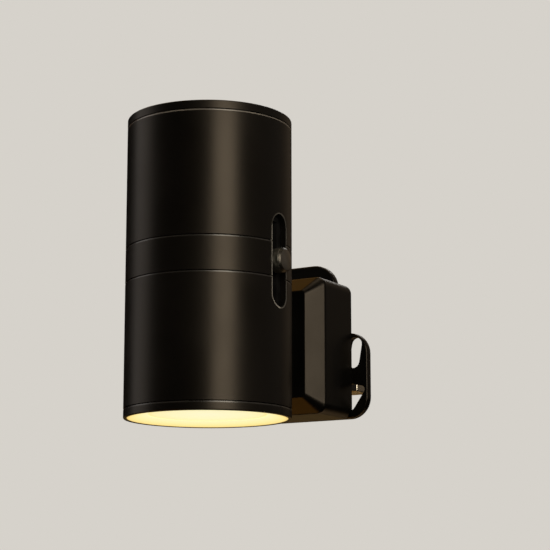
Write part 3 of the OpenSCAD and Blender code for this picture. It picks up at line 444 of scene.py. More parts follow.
def groove(h):
    """Tube radius at height h above its middle. Each groove, and each end, is a V whose lower lip is
    eased by a bevel and whose upper lip is left sharp."""
    centres = np.array([-TUBE_HALF, -BAND / 2, BAND / 2, TUBE_HALF])
    away = np.asarray(h)[..., None] - centres
    near = np.take_along_axis(away, np.abs(away).argmin(-1)[..., None], -1)[..., 0]
    return TUBE_R - np.interp(near, GROOVE_H, GROOVE_DROP, left=0, right=0)


def slot_rows(half_width):
    """Height and half width of the slot's outline, from its foot to its top: a half circle, straight
    sides with a row at each groove's corners, and a half circle."""
    arc = np.linspace(-np.pi / 2, 0, 15)[:-1]
    straight = np.concatenate([[-ends], -BAND / 2 + GROOVE_H, [0], BAND / 2 + GROOVE_H, [ends]])
    rise, reach = half_width * np.sin(arc), half_width * np.cos(arc)
    h = np.concatenate([-ends + rise, straight, ends - rise[::-1]])
    w = np.concatenate([reach, np.full(len(straight), half_width), reach[::-1]])
    return h, np.where(w < 1e-9, 0, w)


def wrapped(h, w, radius):
    """Rows round the tube: the turn starts at the slot's side, asin(half width / radius), and ends as
    far short of a full turn."""
    side = np.arcsin(w / radius)[:, None]
    turn = side + across * (2 * np.pi - 2 * side)
    r = radius[:, None]
    return np.stack([r * np.cos(turn), TUBE_Y + r * np.sin(turn), TUBE_Z + h[:, None] + 0 * turn], -1)


# Plain rows run from 4 mm inside the tube's end to just past the slot's end, and one more row near each
# end keeps the shading of the end's own groove narrow
END_ROW, FOOT_ROW, HEAD_ROW, SLOT_ROW = 4, 0.6, 1, 14.5
plain = np.linspace(END_ROW - TUBE_HALF, -SLOT_ROW, 7)
below = np.concatenate([-TUBE_HALF + GROOVE_H[2:], [FOOT_ROW - TUBE_HALF], plain])
above = np.concatenate([-plain[::-1], [TUBE_HALF - HEAD_ROW], TUBE_HALF + GROOVE_H[:3]])
mouth_h, mouth_w = slot_rows(SLOT_W / 2 + LIP_W)
wall_h, wall_w = slot_rows(SLOT_W / 2)
outer_h = np.concatenate([below, mouth_h, above])
outer_w = np.concatenate([0 * below, mouth_w, 0 * above])
inner_h = np.concatenate([below, wall_h, above])
inner_w = np.concatenate([0 * below, wall_w, 0 * above])
outside = wrapped(outer_h, outer_w, groove(outer_h))
bore = wrapped(inner_h, inner_w, np.full(len(inner_h), BORE_R))


def slot_loop(half_width, drop=0.0, radius=None):
    """Outline of the slot with a half width, at a drop below the tube's outside or, with a radius, on
    that cylinder: x is the square root of radius^2 - half width^2, less the drop."""
    h, w = slot_rows(half_width)
    x = np.sqrt((groove(mouth_h) if radius is None else radius) ** 2 - w**2) - drop
    side = np.stack([x, w, h], -1)
    return np.concatenate([side, (side * [1, -1, 1])[::-1]]) + [0, TUBE_Y, TUBE_Z]


lip_foot = slot_loop(SLOT_W / 2, LIP_DROP)
lip = grid(looped(np.stack([slot_loop(SLOT_W / 2 + LIP_W), lip_foot])))
slot_wall = np.stack([lip_foot, slot_loop(SLOT_W / 2, radius=BORE_R)])
rims = [grid(np.stack([outside[k], bore[k]])) for k in (0, -1)]
print("rows up the tube's outside:", len(outer_h), "of them beside the slot:", len(mouth_h))

# %% Give the tube's lips their finishes and painted highlights
PLAIN, LIP_HIGHLIGHT, FRONT_HIGHLIGHT, JOINT_HIGHLIGHT, FAR_DIM_HIGHLIGHT = range(5)
EASED = 0.1
# A lip's bevel is a row where the surface starts to drop, and it drops by less than the limit
row_drop = TUBE_R - groove(outer_h)
eased = (row_drop[1:] > row_drop[:-1]) & (row_drop[1:] < EASED)
# The eased rows carry the painted highlight: the upper joint's brighter one, the other lips' fainter one
row_finish = np.where(eased, np.where(outer_h[1:] > BAND, JOINT_HIGHLIGHT, LIP_HIGHLIGHT), PLAIN)
skin = (*grid(outside), np.repeat(row_finish, COLUMNS - 1))
# The slot's outline goes up its far side and down its front one, which carries the brighter painted
# highlight but for its top arc
lip_h = np.concatenate([mouth_h, mouth_h[::-1]])
brighter_highlight_side = (np.arange(len(lip_h)) >= len(mouth_h)) & (lip_h <= ends)
chamfer = (*lip, np.where(brighter_highlight_side, FRONT_HIGHLIGHT, FAR_DIM_HIGHLIGHT))
piece("lamp_tube", [skin, grid(bore), *rims, grid(looped(slot_wall)), chamfer],
      [tube_black, lip_painted_highlight, front_chamfer_highlight, joint_painted_highlight, far_chamfer_dim_highlight], ["body_tube"])

# %% [markdown]
# ## Bezels, glowing rings and lenses
# A thin bezel closes each end of the tube: its spigot sits in the bore, and its lip stands round a pale
# cone that falls to the lens. All three are lathe shapes, so an outline of radius and height is enough.
# Heights run from the tube's end outwards, and the lower set is the upper one turned over.

# %% Turn the bezels, rings and lenses
SPIGOT_R, SPIGOT_BORE, LIP_R, WINDOW_R = BORE_R - 0.1, BORE_R - 1.3, TUBE_R - 0.95, 16.5
SPIGOT_LEN, FLANGE, RIM, RING_RIM, RING_T = 4, 0.8, 2.5, 2.35, 0.3
LENS_TOP, LENS_T, PLAY = RIM - 1.4, 2, 0.1
groove_sides = {
    1: list(zip(GROOVE_H[2:], GROOVE_DROP[2:])),
    -1: list(zip(-GROOVE_H[2::-1], GROOVE_DROP[2::-1])),
}
ring_r, lens_r = LIP_R - PLAY, SPIGOT_BORE - PLAY
ring_outline = rounded(
    (WINDOW_R, LENS_TOP, 0.03), (SPIGOT_BORE, LENS_TOP, 0), (SPIGOT_BORE, FLANGE, 0), (ring_r, FLANGE, 0),
    (ring_r, RING_RIM, 0.1), (ring_r - RING_T, RING_RIM, 0.1), (WINDOW_R, LENS_TOP + 0.15, 0.05), steps=3)
lens_outline = rounded(
    (0, LENS_TOP - LENS_T, 0), (lens_r, LENS_TOP - LENS_T, 0.1), (lens_r, LENS_TOP, 0.1),
    (0, LENS_TOP, 0), steps=3)
for end, side in (("upper", 1), ("lower", -1)):
    bezel_outline = rounded(
        (SPIGOT_BORE, -SPIGOT_LEN, 0.1), (SPIGOT_R, -SPIGOT_LEN, 0.2), (SPIGOT_R, 0, 0),
        *((TUBE_R - drop, h, 0) for h, drop in groove_sides[side]), (TUBE_R, RIM, 0.3), (LIP_R, RIM, 0.2),
        (LIP_R, FLANGE, 0), (SPIGOT_BORE, FLANGE, 0), steps=4)
    for part, outline, material, slot in (
        ("bezel", bezel_outline, tube_black, "black_tube_paint"),
        ("shade_ring", ring_outline, lit_ring, "shade_ring_plastic"),
        ("lens", lens_outline, opal, "lens_opal"),
    ):
        shell = turned(outline * [1, side] + [0, TUBE_Z + side * TUBE_HALF])
        # The lower bezel's eased lip carries the same painted highlight as the tube's lower lips
        if (part, end) == ("bezel", "lower"):
            lip_rows = (outline[:, 0] > TUBE_R - EASED) & (outline[:, 1] < -GROOVE_H[0] - 0.01)
            shell = (*shell, np.repeat(lip_rows.astype(int), SEGMENTS))
        piece(f"{end}_{part}_face", [shell], [material, lip_painted_highlight], [f"{end}_{part}"])

# %% [markdown]
# ## The knob
# The knob is a short turned barrel that fills the slot's width. A narrow waist sets off its cap, whose
# edge is bevelled and whose face is slightly crowned, so light slides across it from top to bottom. It
# is the one part that moves, so it rides on the slider's body. It is spun about a level axis that
# points right.

# %% Turn the knob
KNOB_R = (knob_high[2] - knob_low[2]) / 2
CAP_EDGE, CROWN, BARREL_OUT, WAIST_W, WAIST_DEPTH = 0.5, 0.3, 1.1, 0.2, 0.3
knob_face, barrel_front, waist_r = knob_high[0], TUBE_R + BARREL_OUT, KNOB_R - WAIST_DEPTH
cap_back, cap_edge = barrel_front + WAIST_W, knob_face - CROWN
knob_outline = rounded(
    (knob_low[0], 0, 0), (knob_low[0], KNOB_R, 0.12), (barrel_front, KNOB_R, 0.1),
    (barrel_front, waist_r, 0), (cap_back, waist_r, 0), (cap_back, KNOB_R, 0.05),
    (cap_edge - CAP_EDGE, KNOB_R, 0.12), (cap_edge, KNOB_R - CAP_EDGE, 0.12),
    (knob_face - CROWN / 4, KNOB_R / 2, 0), (knob_face, 0, 0), steps=6)
spin = np.linspace(0, 2 * np.pi, 97)[None, :]
along, out = knob_outline[:, 0:1], knob_outline[:, 1:2]
knob_points = np.stack([along + 0 * spin, TUBE_Y + out * np.cos(spin), TUBE_Z + out * np.sin(spin)], -1)
# Rows of the outline: 0 for the cap's face, 1 for the barrel and the waist's floor, 2 for the bevel, which
# carries the painted shade
barrel_rows = knob_outline[:, 0] < barrel_front + WAIST_W / 2
edge_rows = ~barrel_rows & (knob_outline[:, 0] < cap_edge - 0.001)
knob_finish = np.repeat(barrel_rows + 2 * edge_rows, knob_points.shape[1] - 1)
piece("dimmer_knob", [(*grid(knob_points, closed=True), knob_finish)],
      [knob_grey, barrel_grey, knob_bevel_painted_shade], ["slider_knob"], body="slider")

# %% [markdown]
# ## The plug housing
# The housing is one moulding: a box with rounded corners and a broad 45 degree bevel round its front.
# It is made as a stack of rounded rectangles that shrink as they come forward. The stack's own outline,
# how far in against how far forward, has its two corners rounded, and that gives the soft edges that
# catch the light on each side of the bevel.

# %% Stack the housing's outlines


def rounded_rects(width, height, radius, steps=8):
    """Rounded rectangles, one row each: every corner is a quarter circle about a centre that lies the
    radius in from both sides."""
    quarter = np.linspace(0, np.pi / 2, steps + 1)
    turn = (quarter + np.arange(4)[:, None] * np.pi / 2).ravel()
    sx = np.repeat([1, -1, -1, 1], steps + 1)
    sz = np.repeat([1, 1, -1, -1], steps + 1)
    w, h, r = (np.atleast_1d(v).astype(float)[:, None] for v in (width, height, radius))
    return np.stack([sx * (w / 2 - r) + r * np.cos(turn), sz * (h / 2 - r) + r * np.sin(turn)], -1)


def stacked(rects, y, x=0.0, z=0.0):
    """Outlines in x and z, each at its own y, joined and capped at both ends."""
    level = np.broadcast_to(np.reshape(y, (-1, 1)), rects.shape[:2])
    rows = np.stack([rects[..., 0] + x, level, rects[..., 1] + z], -1)
    points, faces = grid(looped(rows))
    cols = rows.shape[1] + 1
    caps = [list(range(cols - 1)), [len(points) - cols + k for k in range(cols - 1)]]
    return points, faces + caps


COVER_W, COVER_H = cover_high[0] - cover_low[0], cover_high[2] - cover_low[2]
BASE_T, COVER_DEPTH, BEVEL = 2.4, 20.4, 4.5
SIDE_SOFT, FACE_SOFT, FACE_RUN = 1.1, 0.8, 4
SIDE_CORNER, CORNER_LOSS = 3, 1.5
edge = rounded(
    (0, 0, 0), (0, COVER_DEPTH - BEVEL, SIDE_SOFT), (BEVEL, COVER_DEPTH, FACE_SOFT),
    (BEVEL + FACE_RUN, COVER_DEPTH, 0), steps=7)
inset = edge[:, 0]
corner_r = SIDE_CORNER - CORNER_LOSS * np.clip(inset / BEVEL, 0, 1.2)
cover_rects = rounded_rects(COVER_W - 2 * inset, COVER_H - 2 * inset, corner_r)
piece("plug_housing", [stacked(cover_rects, -BASE_T - edge[:, 1], z=COVER_Z)], [moulded_black],
      ["plug_cover"])

# %% [markdown]
# ## The plug base
# The base is a flat moulding shaped round the three pins, with a lobe above the earth pin and a pull
# grip on each side. Its outline is drawn once with an arc at each corner. Two holes in each grip let the
# fingers hold it. The rim steps in along a quarter circle, so that the plate's front edge is soft, and
# the two faces are filled in between the outline and the holes.

# %% Draw the base with its grips and holes
FOOT, HALF_W, TOP = base_low[2], base_high[0], base_high[2]
COVER_WALL, SEAT, PLATE_R = 1.6, 0.2, 2.4
PLATE_HALF = COVER_W / 2 - COVER_WALL + SEAT
PLATE_TOP = COVER_Z + COVER_H / 2 - COVER_WALL + SEAT
GRIP_R, GRIP_TOP, LOBE_R, LOBE_HALF = 6.3, FOOT + 25.6, 7.6, 13.3


def arc(x, z, radius, first, last, steps=10):
    """Points on a circle about x, z from one angle to another, in degrees from the right."""
    turn = np.radians(np.linspace(first, last, steps + 1))
    return np.stack([x + radius * np.cos(turn), z + radius * np.sin(turn)], -1)


def cleaned(loop):
    """The loop without repeated points."""
    return loop[np.linalg.norm(loop - np.roll(loop, 1, 0), axis=1) > 1e-6]


def moved(loop, distance):
    """The loop moved outwards by the distance: each point goes along the sum of its two sides' normals,
    divided by one plus their product, so that both sides move by the same amount."""
    side = unit(np.roll(loop, -1, 0) - loop)
    normal = np.stack([side[:, 1], -side[:, 0]], -1)
    before = np.roll(normal, 1, 0)
    return loop + distance * (normal + before) / (1 + (normal * before).sum(1, keepdims=True))


def slot_hole(x, z, width, length, lean, steps=8):
    """Two half circles joined by straight sides, leaning from upright by an angle in degrees."""
    turn = np.linspace(0, np.pi, steps + 1)
    cap = width / 2 * np.stack([np.cos(turn), np.sin(turn)], -1)
    loop = np.concatenate([cap + [0, (length - width) / 2], -cap - [0, (length - width) / 2]])
    a = np.radians(lean)
    return loop @ np.array([[np.cos(a), -np.sin(a)], [np.sin(a), np.cos(a)]]) + [x, z]


def hole_walls(loop, steps, grow):
    """Rows of a hole's wall from (how far it opens out, y) steps."""
    rows = [np.insert(moved(loop, grow * out), 1, y, axis=1) for out, y in steps]
    return grid(looped(np.stack(rows)))


def face_between(loops, y):
    """A flat face at y inside the first loop and outside the others, filled with triangles."""
    flat = [[Vector((x, z, 0)) for x, z in loop] for loop in loops]
    points = np.insert(np.concatenate(loops), 1, y, axis=1)
    return points, [list(face) for face in tessellate_polygon(flat)]


right_side = np.concatenate([
    arc(HALF_W - GRIP_R, FOOT + GRIP_R, GRIP_R, -90, 0),
    arc(HALF_W - GRIP_R, GRIP_TOP - GRIP_R, GRIP_R, 0, 90),
    [(PLATE_HALF, GRIP_TOP)],
    arc(PLATE_HALF - PLATE_R, PLATE_TOP - PLATE_R, PLATE_R, 0, 90),
    [(LOBE_HALF, PLATE_TOP)],
    arc(LOBE_HALF - LOBE_R, TOP - LOBE_R, LOBE_R, 0, 90)])
base_outline = cleaned(np.concatenate([right_side, (right_side * [-1, 1])[::-1]]))
print("the base's outline has", len(base_outline), "points")

# %% Place the holes in the base
HOLE_W, HOLE_LEN, HOLE_LEAN = 4.2, 9.3, 10
SIDE_WEB, TOP_WEB, MIDDLE_WEB = 1.9, 1.4, 4.6
LOWER_R, UNDER_COVER, LOWER_WEB, LOWER_DEPTH, LOWER_SLOPE = 1.1, 1.5, 1.1, 6.7, 1.9
hole_run, hole_lean = HOLE_LEN - HOLE_W, np.radians(HOLE_LEAN)
slot_x = HALF_W - SIDE_WEB - HOLE_W / 2 - hole_run / 2 * np.sin(hole_lean)
slot_z = GRIP_TOP - TOP_WEB - HOLE_W / 2 - hole_run / 2 * np.cos(hole_lean)
upper_hole = cleaned(slot_hole(slot_x, slot_z, HOLE_W, HOLE_LEN, HOLE_LEAN))
hole_top = GRIP_TOP - TOP_WEB - HOLE_W - hole_run * np.cos(hole_lean) - MIDDLE_WEB
hole_in, hole_out = COVER_W / 2 - UNDER_COVER, HALF_W - LOWER_WEB
# The lower hole is a triangle of three arcs, drawn from their middles
arc_middles = np.array([
    (hole_in + LOWER_R, hole_top - LOWER_DEPTH),
    (hole_out - LOWER_R, hole_top - LOWER_SLOPE),
    (hole_in + LOWER_R, hole_top - LOWER_R)])
lower_hole = cleaned(rounded(*[(x, z, LOWER_R) for x, z in moved(arc_middles, LOWER_R)]))
through = [upper_hole, lower_hole] + [(loop * [-1, 1])[::-1] for loop in (upper_hole, lower_hole)]
# A British plug's pins stand 22.2 mm apart both ways, so each is half of that from their middle
PIN_STEP, POWER_W, POWER_H, EARTH_W, EARTH_H = 11.1, 6.35, 4.0, 4.0, 8.0
pins = [(PIN_STEP, -PIN_STEP, POWER_W, POWER_H), (-PIN_STEP, -PIN_STEP, POWER_W, POWER_H),
        (0.0, PIN_STEP, EARTH_W, EARTH_H)]
PIN_SEAT, SCREW_X, SCREW_Z, SCREW_D = 0.5, 13.55, 15.0, 5.6
blind = [rounded_rects(w + PIN_SEAT, h + PIN_SEAT, 0.5, 3)[0] + [x, z] for x, z, w, h in pins]
screw_at = [(sx * SCREW_X, COVER_Z + sz * SCREW_Z) for sx in (-1, 1) for sz in (-1, 1)]
blind += [rounded_rects(SCREW_D, SCREW_D, SCREW_D / 2, 7)[0] + place for place in screw_at]
blind = [cleaned(loop) for loop in blind]
print("holes through the base:", len(through), "and recesses:", len(blind))

# %% Fill the base in between its outline and its holes
FRONT_R, REAR_R, HOLE_FRONT, BLIND_EDGE, BLIND_DEPTH = 0.6, 0.25, 0.3, 0.12, 2.0
# Each edge is a list of (how far it steps in, y), from the rear face forwards
quarter = np.linspace(0, np.pi / 2, 6)
front_edge = np.stack([FRONT_R * (1 - np.cos(quarter)), -BASE_T + FRONT_R * (1 - np.sin(quarter))], -1)
rear_edge = [(REAR_R, 0.0), (0.07, -0.07), (0.0, -REAR_R)]
outer_edge = [*rear_edge, *front_edge.tolist()]
hole_edge = [*rear_edge, (0.0, -2.1), (0.1, -2.3), (HOLE_FRONT, -BASE_T)]
blind_edge = [(BLIND_EDGE, 0.0), (0.0, -BLIND_EDGE), (0.0, -BLIND_DEPTH)]
shells = [hole_walls(base_outline, outer_edge, -1)]
shells += [hole_walls(loop, hole_edge, 1) for loop in through]
for loop in blind:
    shells += [hole_walls(loop, blind_edge, 1), face_between([loop], -BLIND_DEPTH)]
rear_loops = [moved(base_outline, -REAR_R), *(moved(loop, REAR_R) for loop in through),
              *(moved(loop, BLIND_EDGE) for loop in blind)]
rear_points, rear_faces = face_between(rear_loops, 0.0)
# The rear face takes the greyer finish, whose colour is painted light
shells.append((rear_points, rear_faces, [1] * len(rear_faces)))
front_loops = [moved(base_outline, -FRONT_R), *(moved(loop, HOLE_FRONT) for loop in through)]
shells.append(face_between(front_loops, -BASE_T))
piece("plug_flange", shells, [moulded_black, rear_face_painted_light], ["plug_base"])

# %% [markdown]
# ## Neck and pins
# The neck is a moulded block whose front is hollowed to the tube's round, so its last outline isn't
# flat: each point's y follows the circle of the tube. The pins are stamped bars with bevelled ends. The
# two brass ones carry a black sleeve over their inner half, flush with the metal, and the earth pin is
# plastic because the lamp is double insulated.

# %% Make the neck
neck_low, neck_high = corners("neck")
neck_half_w = (neck_high[0] - neck_low[0]) / 2
neck_half_h = (neck_high[2] - neck_low[2]) / 2
NECK_R, NECK_SINK = 2.5, 0.02
neck_turn = np.linspace(0, np.pi / 2, 9)
corner_x = neck_half_w - NECK_R * (1 - np.cos(neck_turn))
corner_z = neck_half_h - NECK_R * (1 - np.sin(neck_turn))
flat_x = np.linspace(corner_x[-1], -corner_x[-1], 15)[1:-1]
neck_x = np.concatenate([corner_x, flat_x, -corner_x[::-1]])
neck_top = np.concatenate([corner_z, 0 * flat_x + neck_half_h, corner_z[::-1]])
neck_z = (neck_low[2] + neck_high[2]) / 2
saddle = TUBE_Y + np.sqrt((TUBE_R + NECK_SINK) ** 2 - neck_x**2)
ends_y = (cover_low[1] + NECK_SINK + 0 * saddle, saddle)
halves = [[np.stack([neck_x, y, neck_z + side * neck_top], -1) for side in (1, -1)] for y in ends_y]
neck_walls = np.stack([np.concatenate([top, bottom[::-1]]) for top, bottom in halves])
piece("neck_block", [grid(looped(neck_walls)), *(grid(np.stack(half)) for half in halves)],
      [moulded_black], ["neck"])

# %% Make the pins and their sleeves


def bar(x, z, width, height, stops):
    """A bar along y from (how far in, y) stops. Its long edges have a radius of 0.45 mm, less 0.3 of
    how far in the stop is, and never under 0.1 mm."""
    rim_in, y = np.array(stops).T
    radius = np.maximum(EDGE_R - 0.3 * rim_in, 0.1)
    rects = rounded_rects(width - 2 * rim_in, height - 2 * rim_in, radius, 3)
    return stacked(rects, y, x, z)


EDGE_R, SLEEVE_END = 0.45, 9.0
# The metal is thinner under its sleeve and comes out to the sleeve's size just past its end
under_sleeve = [(0.3, -BASE_T), (0.3, 8.9), (0.12, SLEEVE_END), (0.0, 9.12)]
power_tip = [(0.0, 16.6), (0.08, 16.75), (1.0, 17.62), (1.15, 17.7)]
earth_stops = [(0.0, -BASE_T), (0.0, 21.5), (0.1, 21.75), (1.0, 22.6), (1.2, 22.7)]
sleeve_stops = [(0.6, -BASE_T), (0.0, -BASE_T), (0.0, 8.85), (0.12, SLEEVE_END), (0.6, SLEEVE_END)]
for name, pin in zip(("live", "neutral"), pins[:2]):
    piece(f"{name}_pin_bar", [bar(*pin, under_sleeve + power_tip)], [pin_nickel],
          [f"{name}_pin"])
    piece(f"{name}_pin_sleeve", [bar(*pin, sleeve_stops)], [nylon_black],
          [f"{name}_sleeve"])
piece("earth_pin_bar", [bar(*pins[2], earth_stops)], [nylon_black], ["earth_pin"])

# %% [markdown]
# ## What stays as it is
# The parts inside the lamp keep their solids. Each still gets the finish of the real thing: zinc on
# steel, lacquer on the boards, tape on the transformer, die-cast aluminium on the frame. All of them
# are grained finishes, so only their colours, gloss and grain differ.

# %% Make the finishes of the parts inside
# Zinc from a plating bath: bright, a little blue, clouded in patches
zinc = grained("steel, zinc plated", "8f9296", "a3a6aa", (0.28, 0.4), 0.5, 0.003, patch=4, Metallic=1.0)
# Aluminium as it comes from the die: dull silver with a fine orange-peel skin
cast = grained("aluminium, die cast", "9a9c9e", "b0b2b3", (0.42, 0.55), 0.5, 0.02, patch=7, Metallic=1.0)
# Tin on sheet steel, rolled before it is pressed: brighter and smoother than the zinc
tin_steel = grained("steel, tin plated", "a5a7aa", "b8babc", (0.25, 0.38), 0.6, 0.003,
                    patch=5, Metallic=1.0)
# Thin tin on copper wire: the copper's colour still comes through
tinned = grained("copper, tinned", "b5651f", "c77b3a", (0.25, 0.4), 0.3, 0.002, patch=2, Metallic=1.0)
# Brass strip, stamped and bent: yellow, with the rolling mill's soft sheen
strap_brass = grained("brass, stamped", "a98640", "bd9a52", (0.3, 0.45), 0.4, 0.003,
                      patch=4, Metallic=1.0)
# Solder mask: lacquer printed on woven glass, glossy with a faint weave under it
green_mask = grained("glass epoxy, green solder mask", "1d5a30", "2c7340", (0.25, 0.38), 0.5, 0.006,
                     patch=3)
# The same in white, which throws the LEDs' light forwards
white_mask = grained("glass epoxy, white solder mask", "d9d9d4", "e8e8e4", (0.3, 0.45), 0.5, 0.005,
                     patch=6)
# Phosphor stirred into soft silicone: deep yellow and a little uneven
phosphor = grained("silicone, yellow phosphor", "e9b93a", "f4d35e", (0.3, 0.5), 0.3, 0.01, patch=1)
# Ferrite, pressed from powder and fired: dark grey, dry and pitted
ferrite = grained("ferrite, sintered", "2a2a2c", "3a3a3d", (0.55, 0.75), 0.3, 0.02, patch=2)
# Winding tape: shiny film, with broad ridges where the turns of wire press through
tape = grained("polyester tape, yellow", "b8932e", "cda843", (0.25, 0.35), 1.2, 0.02, patch=3)
# Printed sleeve, shrunk round the can by heat: smooth, dark and glossy
shrunk = grained("PET sleeve, dark blue", "1c2128", "2b323b", (0.25, 0.35), 0.6, 0.005, patch=4)
# Epoxy filled with silica, moulded round the chip: matt black
epoxy = grained("epoxy moulding, black", "101012", "1a1a1c", (0.5, 0.65), 0.3, 0.008, patch=2)
# Lacquer dipped on a ceramic rod: pale blue with a soft gloss
lacquer = grained("lacquer, blue on ceramic", "5f8aa4", "7da3bb", (0.3, 0.45), 0.4, 0.01, patch=2)
# Paper pressed with phenolic resin: brown and satin
phenolic = grained("phenolic paper board", "55301a", "6e4024", (0.45, 0.6), 0.4, 0.01, patch=3)
# Acetal: a slippery plastic with a waxy sheen, so the wiper slides well
acetal = grained("acetal, dark grey", "2c2c2f", "38383b", (0.35, 0.45), 0.4, 0.003, patch=3)
# Silicone rubber round the leads, because the lamp's ends get warm: dull red
silicone = grained("silicone rubber, red", "7a1f1b", "952b25", (0.45, 0.6), 0.4, 0.005, patch=3)
# White ABS for the cups: glossy and pale, so that they throw the light on to the lens
cup_white = grained("ABS plastic, white", "e2e0da", "eeece6", (0.3, 0.4), 0.5, 0.004, patch=8)
print("finishes in all:", len(bpy.data.materials))

# %% Finish the parts inside
inside = {
    zinc: ["base_screws", "neck_screws", "clamp_plate", "upper_board_screws", "lower_board_screws"],
    cast: ["inner_frame"], tin_steel: ["pot_case"], tinned: ["pot_leads"], strap_brass: ["contact_tags"],
    green_mask: ["driver_board", "dimmer_board"], white_mask: ["upper_led_board", "lower_led_board"],
    phosphor: ["upper_leds", "lower_leds"], ferrite: ["transformer_core", "choke"],
    tape: ["transformer_winding"], shrunk: ["input_capacitor", "output_capacitor"],
    epoxy: ["driver_chips"], lacquer: ["fuse_resistor"], phenolic: ["pot_track"], acetal: ["wiper_carrier"],
    silicone: ["supply_leads", "upper_lamp_leads", "lower_lamp_leads"],
    cup_white: ["upper_reflector", "lower_reflector"], filled_nylon: ["slot_liner"],
}
for material, nodes in inside.items():
    for node in nodes:
        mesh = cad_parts[node].data
        mesh.materials.clear()
        mesh.materials.append(material)
print("parts kept as solids:", sum(len(nodes) for nodes in inside.values()))

# %% [markdown]
# ## Floor and light
# A satin black object shows its shape by what it mirrors, so the lights are the work here. A soft box a
# little to the right of the camera draws the broad streak down the tube, and a dimmer one far to the
# left draws the second. Dark cards all round, which the camera doesn't see, keep the metal black
# between the two. A small card at the right rear picks out the knob's top edge.
# Warm boxes behind, above and below stand for the glow that the lamp throws on its own wall: they tint
# the housing's bevels. A pale floor and a pale surround make the background.

# %% Lay the floor and set the surround


def seen(tree):
    """1 for a ray from the camera, or one mirrored or let through on its way there, and otherwise 0."""
    path = add(tree, "ShaderNodeLightPath").outputs
    some = add(tree, "ShaderNodeMath", {
        0: path["Is Camera Ray"], 1: path["Is Glossy Ray"]}, operation="ADD")
    return add(tree, "ShaderNodeMath", {
        0: some.outputs[0], 1: path["Is Transmission Ray"]}, operation="ADD", use_clamp=True).outputs[0]


# Places and sizes of the room are in metres
FLOOR_Z, FLOOR_HALF, PLAIN_SHARE = -0.45, 2, 0.93
PALE = linear("d6d2cb")
floor_mesh = bpy.data.meshes.new("floor")
round_floor = (-1, -1), (1, -1), (1, 1), (-1, 1)
floor_corners = [(sx * FLOOR_HALF, sy * FLOOR_HALF, FLOOR_Z) for sx, sy in round_floor]
floor_mesh.from_pydata(floor_corners, [], [(0, 1, 2, 3)])
floor = bpy.data.objects.new("floor", floor_mesh)
bpy.context.scene.collection.objects.link(floor)
# Painted board: it takes light and shade, and most of what the camera sees of it is its plain colour
board = grained("painted board, pale", "d2cfc9", "d8d5cf", (0.75, 0.85), 2.0, 0.02, patch=400)
tree = board.node_tree
plain = add(tree, "ShaderNodeMath", {0: seen(tree), 1: PLAIN_SHARE}, operation="MULTIPLY")
paint = add(tree, "ShaderNodeEmission", {"Color": PALE, "Strength": 1.0})
laid = add(tree, "ShaderNodeMixShader", {
    0: plain.outputs[0], 1: tree.nodes["Principled BSDF"].outputs[0], 2: paint.outputs[0]})
tree.links.new(laid.outputs[0], tree.nodes["Material Output"].inputs["Surface"])
floor_mesh.materials.append(board)

# The surround lights the lamp only dimly, but the camera and reflections see it pale
world = bpy.data.worlds.new("surround")
bpy.context.scene.world = world
world.use_nodes = True
sky = world.node_tree
sky.nodes.clear()
dim = add(sky, "ShaderNodeBackground", {"Color": linear("f4f1ec"), "Strength": 0.2})
pale = add(sky, "ShaderNodeBackground", {"Color": PALE, "Strength": 1.0})
both = add(sky, "ShaderNodeMixShader", {0: seen(sky), 1: dim.outputs[0], 2: pale.outputs[0]})
add(sky, "ShaderNodeOutputWorld", {"Surface": both.outputs[0]})
print("floor at", FLOOR_Z, "m in", board.name)

# %% Hang the lights
aim = Vector((0, TUBE_Y, TUBE_Z)) * MM
CAMERA_SIDE = 32.7


def around(side, height, distance):
    """Place at a distance from the tube's middle, at an angle to the right of the camera's side and an
    angle up, in degrees: the sine and cosine of the first, times the cosine of the second."""
    a, e = np.radians(CAMERA_SIDE + side), np.radians(height)
    return aim + distance * Vector((np.sin(a) * np.cos(e), -np.cos(a) * np.cos(e), np.sin(e)))


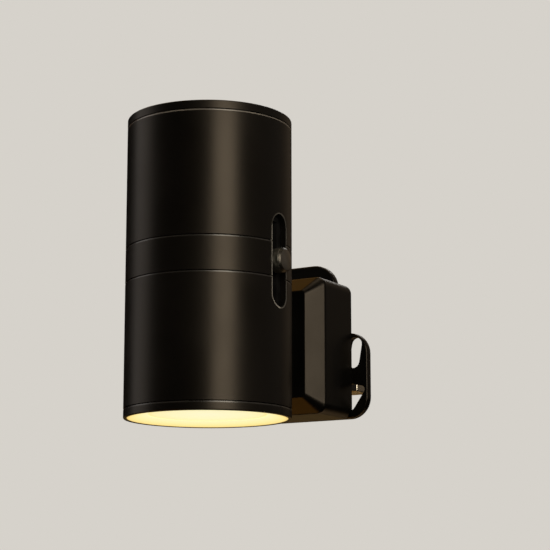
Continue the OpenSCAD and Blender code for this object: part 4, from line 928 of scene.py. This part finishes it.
def soft_box(name, side, height, distance, width, length, watts, tint):
    """A rectangular lamp that faces the tube's middle, with its sizes in metres. Its radiance is its
    watts over pi times its area."""
    light = bpy.data.lights.new(name, "AREA")
    light.shape = "RECTANGLE"
    light.size, light.size_y = width, length
    light.energy = watts
    light.color = linear(tint)[:3]
    thing = bpy.data.objects.new(name, light)
    thing.location = around(side, height, distance)
    thing.rotation_euler = (thing.location - aim).to_track_quat("Z", "Y").to_euler()
    thing.visible_camera = False
    bpy.context.scene.collection.objects.link(thing)
    print(name, "radiance", round(watts / (np.pi * width * length), 2))


soft_box("key box", 21, 12, 0.7, 0.34, 0.5, 3.4, "fff2dc")
soft_box("left box", -104, 12, 0.7, 0.4, 0.9, 1.1, "fff6ee")
soft_box("right box", 88, 18, 0.75, 0.84, 0.6, 0.21, "fff0e0")
soft_box("rear box", 138, 20, 0.8, 0.5, 0.5, 0.12, "ffe0bc")
soft_box("knob card", 158, 38, 0.8, 0.25, 0.2, 0.8, "f6f1ea")
soft_box("upper glow", -150, 54, 0.6, 0.7, 0.35, 0.5, "ffba58")
soft_box("lower glow", -102, -57, 0.4, 0.3, 0.3, 0.34, "ffb44b")
soft_box("wall glow", 180, -12, 0.8, 1.0, 0.25, 0.11, "ffce80")
soft_box("top box", 60, 82, 0.7, 0.4, 0.4, 1.2, "ffe8c8")
soft_box("back box", 147, -48, 0.55, 0.5, 0.3, 0.45, "ffd39c")

# %% Stand the dark cards
# The walls and ceiling of the cards keep the surround's light off the lamp. The one on the floor is
# for reflections alone, so the floor under it keeps its light and shade.
felt = grained("felt, black", "1c1b1a", "232120", (0.9, 1.0), 3.0, 0.1, patch=200, Specular_IOR_Level=0.1)
CARD_R, CARD_TOP, GAP = 0.9, 0.8, 0.01
turn = np.linspace(0, 2 * np.pi, 49)[None, :]
card_rows = {
    "dark_cards": [[CARD_R, FLOOR_Z], [CARD_R, CARD_TOP], [0, CARD_TOP]],
    "dark_floor_card": [[0, FLOOR_Z + GAP], [CARD_R - GAP, FLOOR_Z + GAP]],
}
for name, rows in card_rows.items():
    r, h = np.array(rows)[:, 0:1], np.array(rows)[:, 1:2]
    points, faces = grid(np.stack([r * np.cos(turn), r * np.sin(turn), h + 0 * turn], -1))
    mesh = bpy.data.meshes.new(name)
    mesh.from_pydata(points.tolist(), [], faces)
    mesh.materials.append(felt)
    card = bpy.data.objects.new(name, mesh)
    card.visible_camera = False
    card.visible_diffuse = card.visible_shadow = name == "dark_cards"
    bpy.context.scene.collection.objects.link(card)
    print(name, "has", len(faces), "faces")
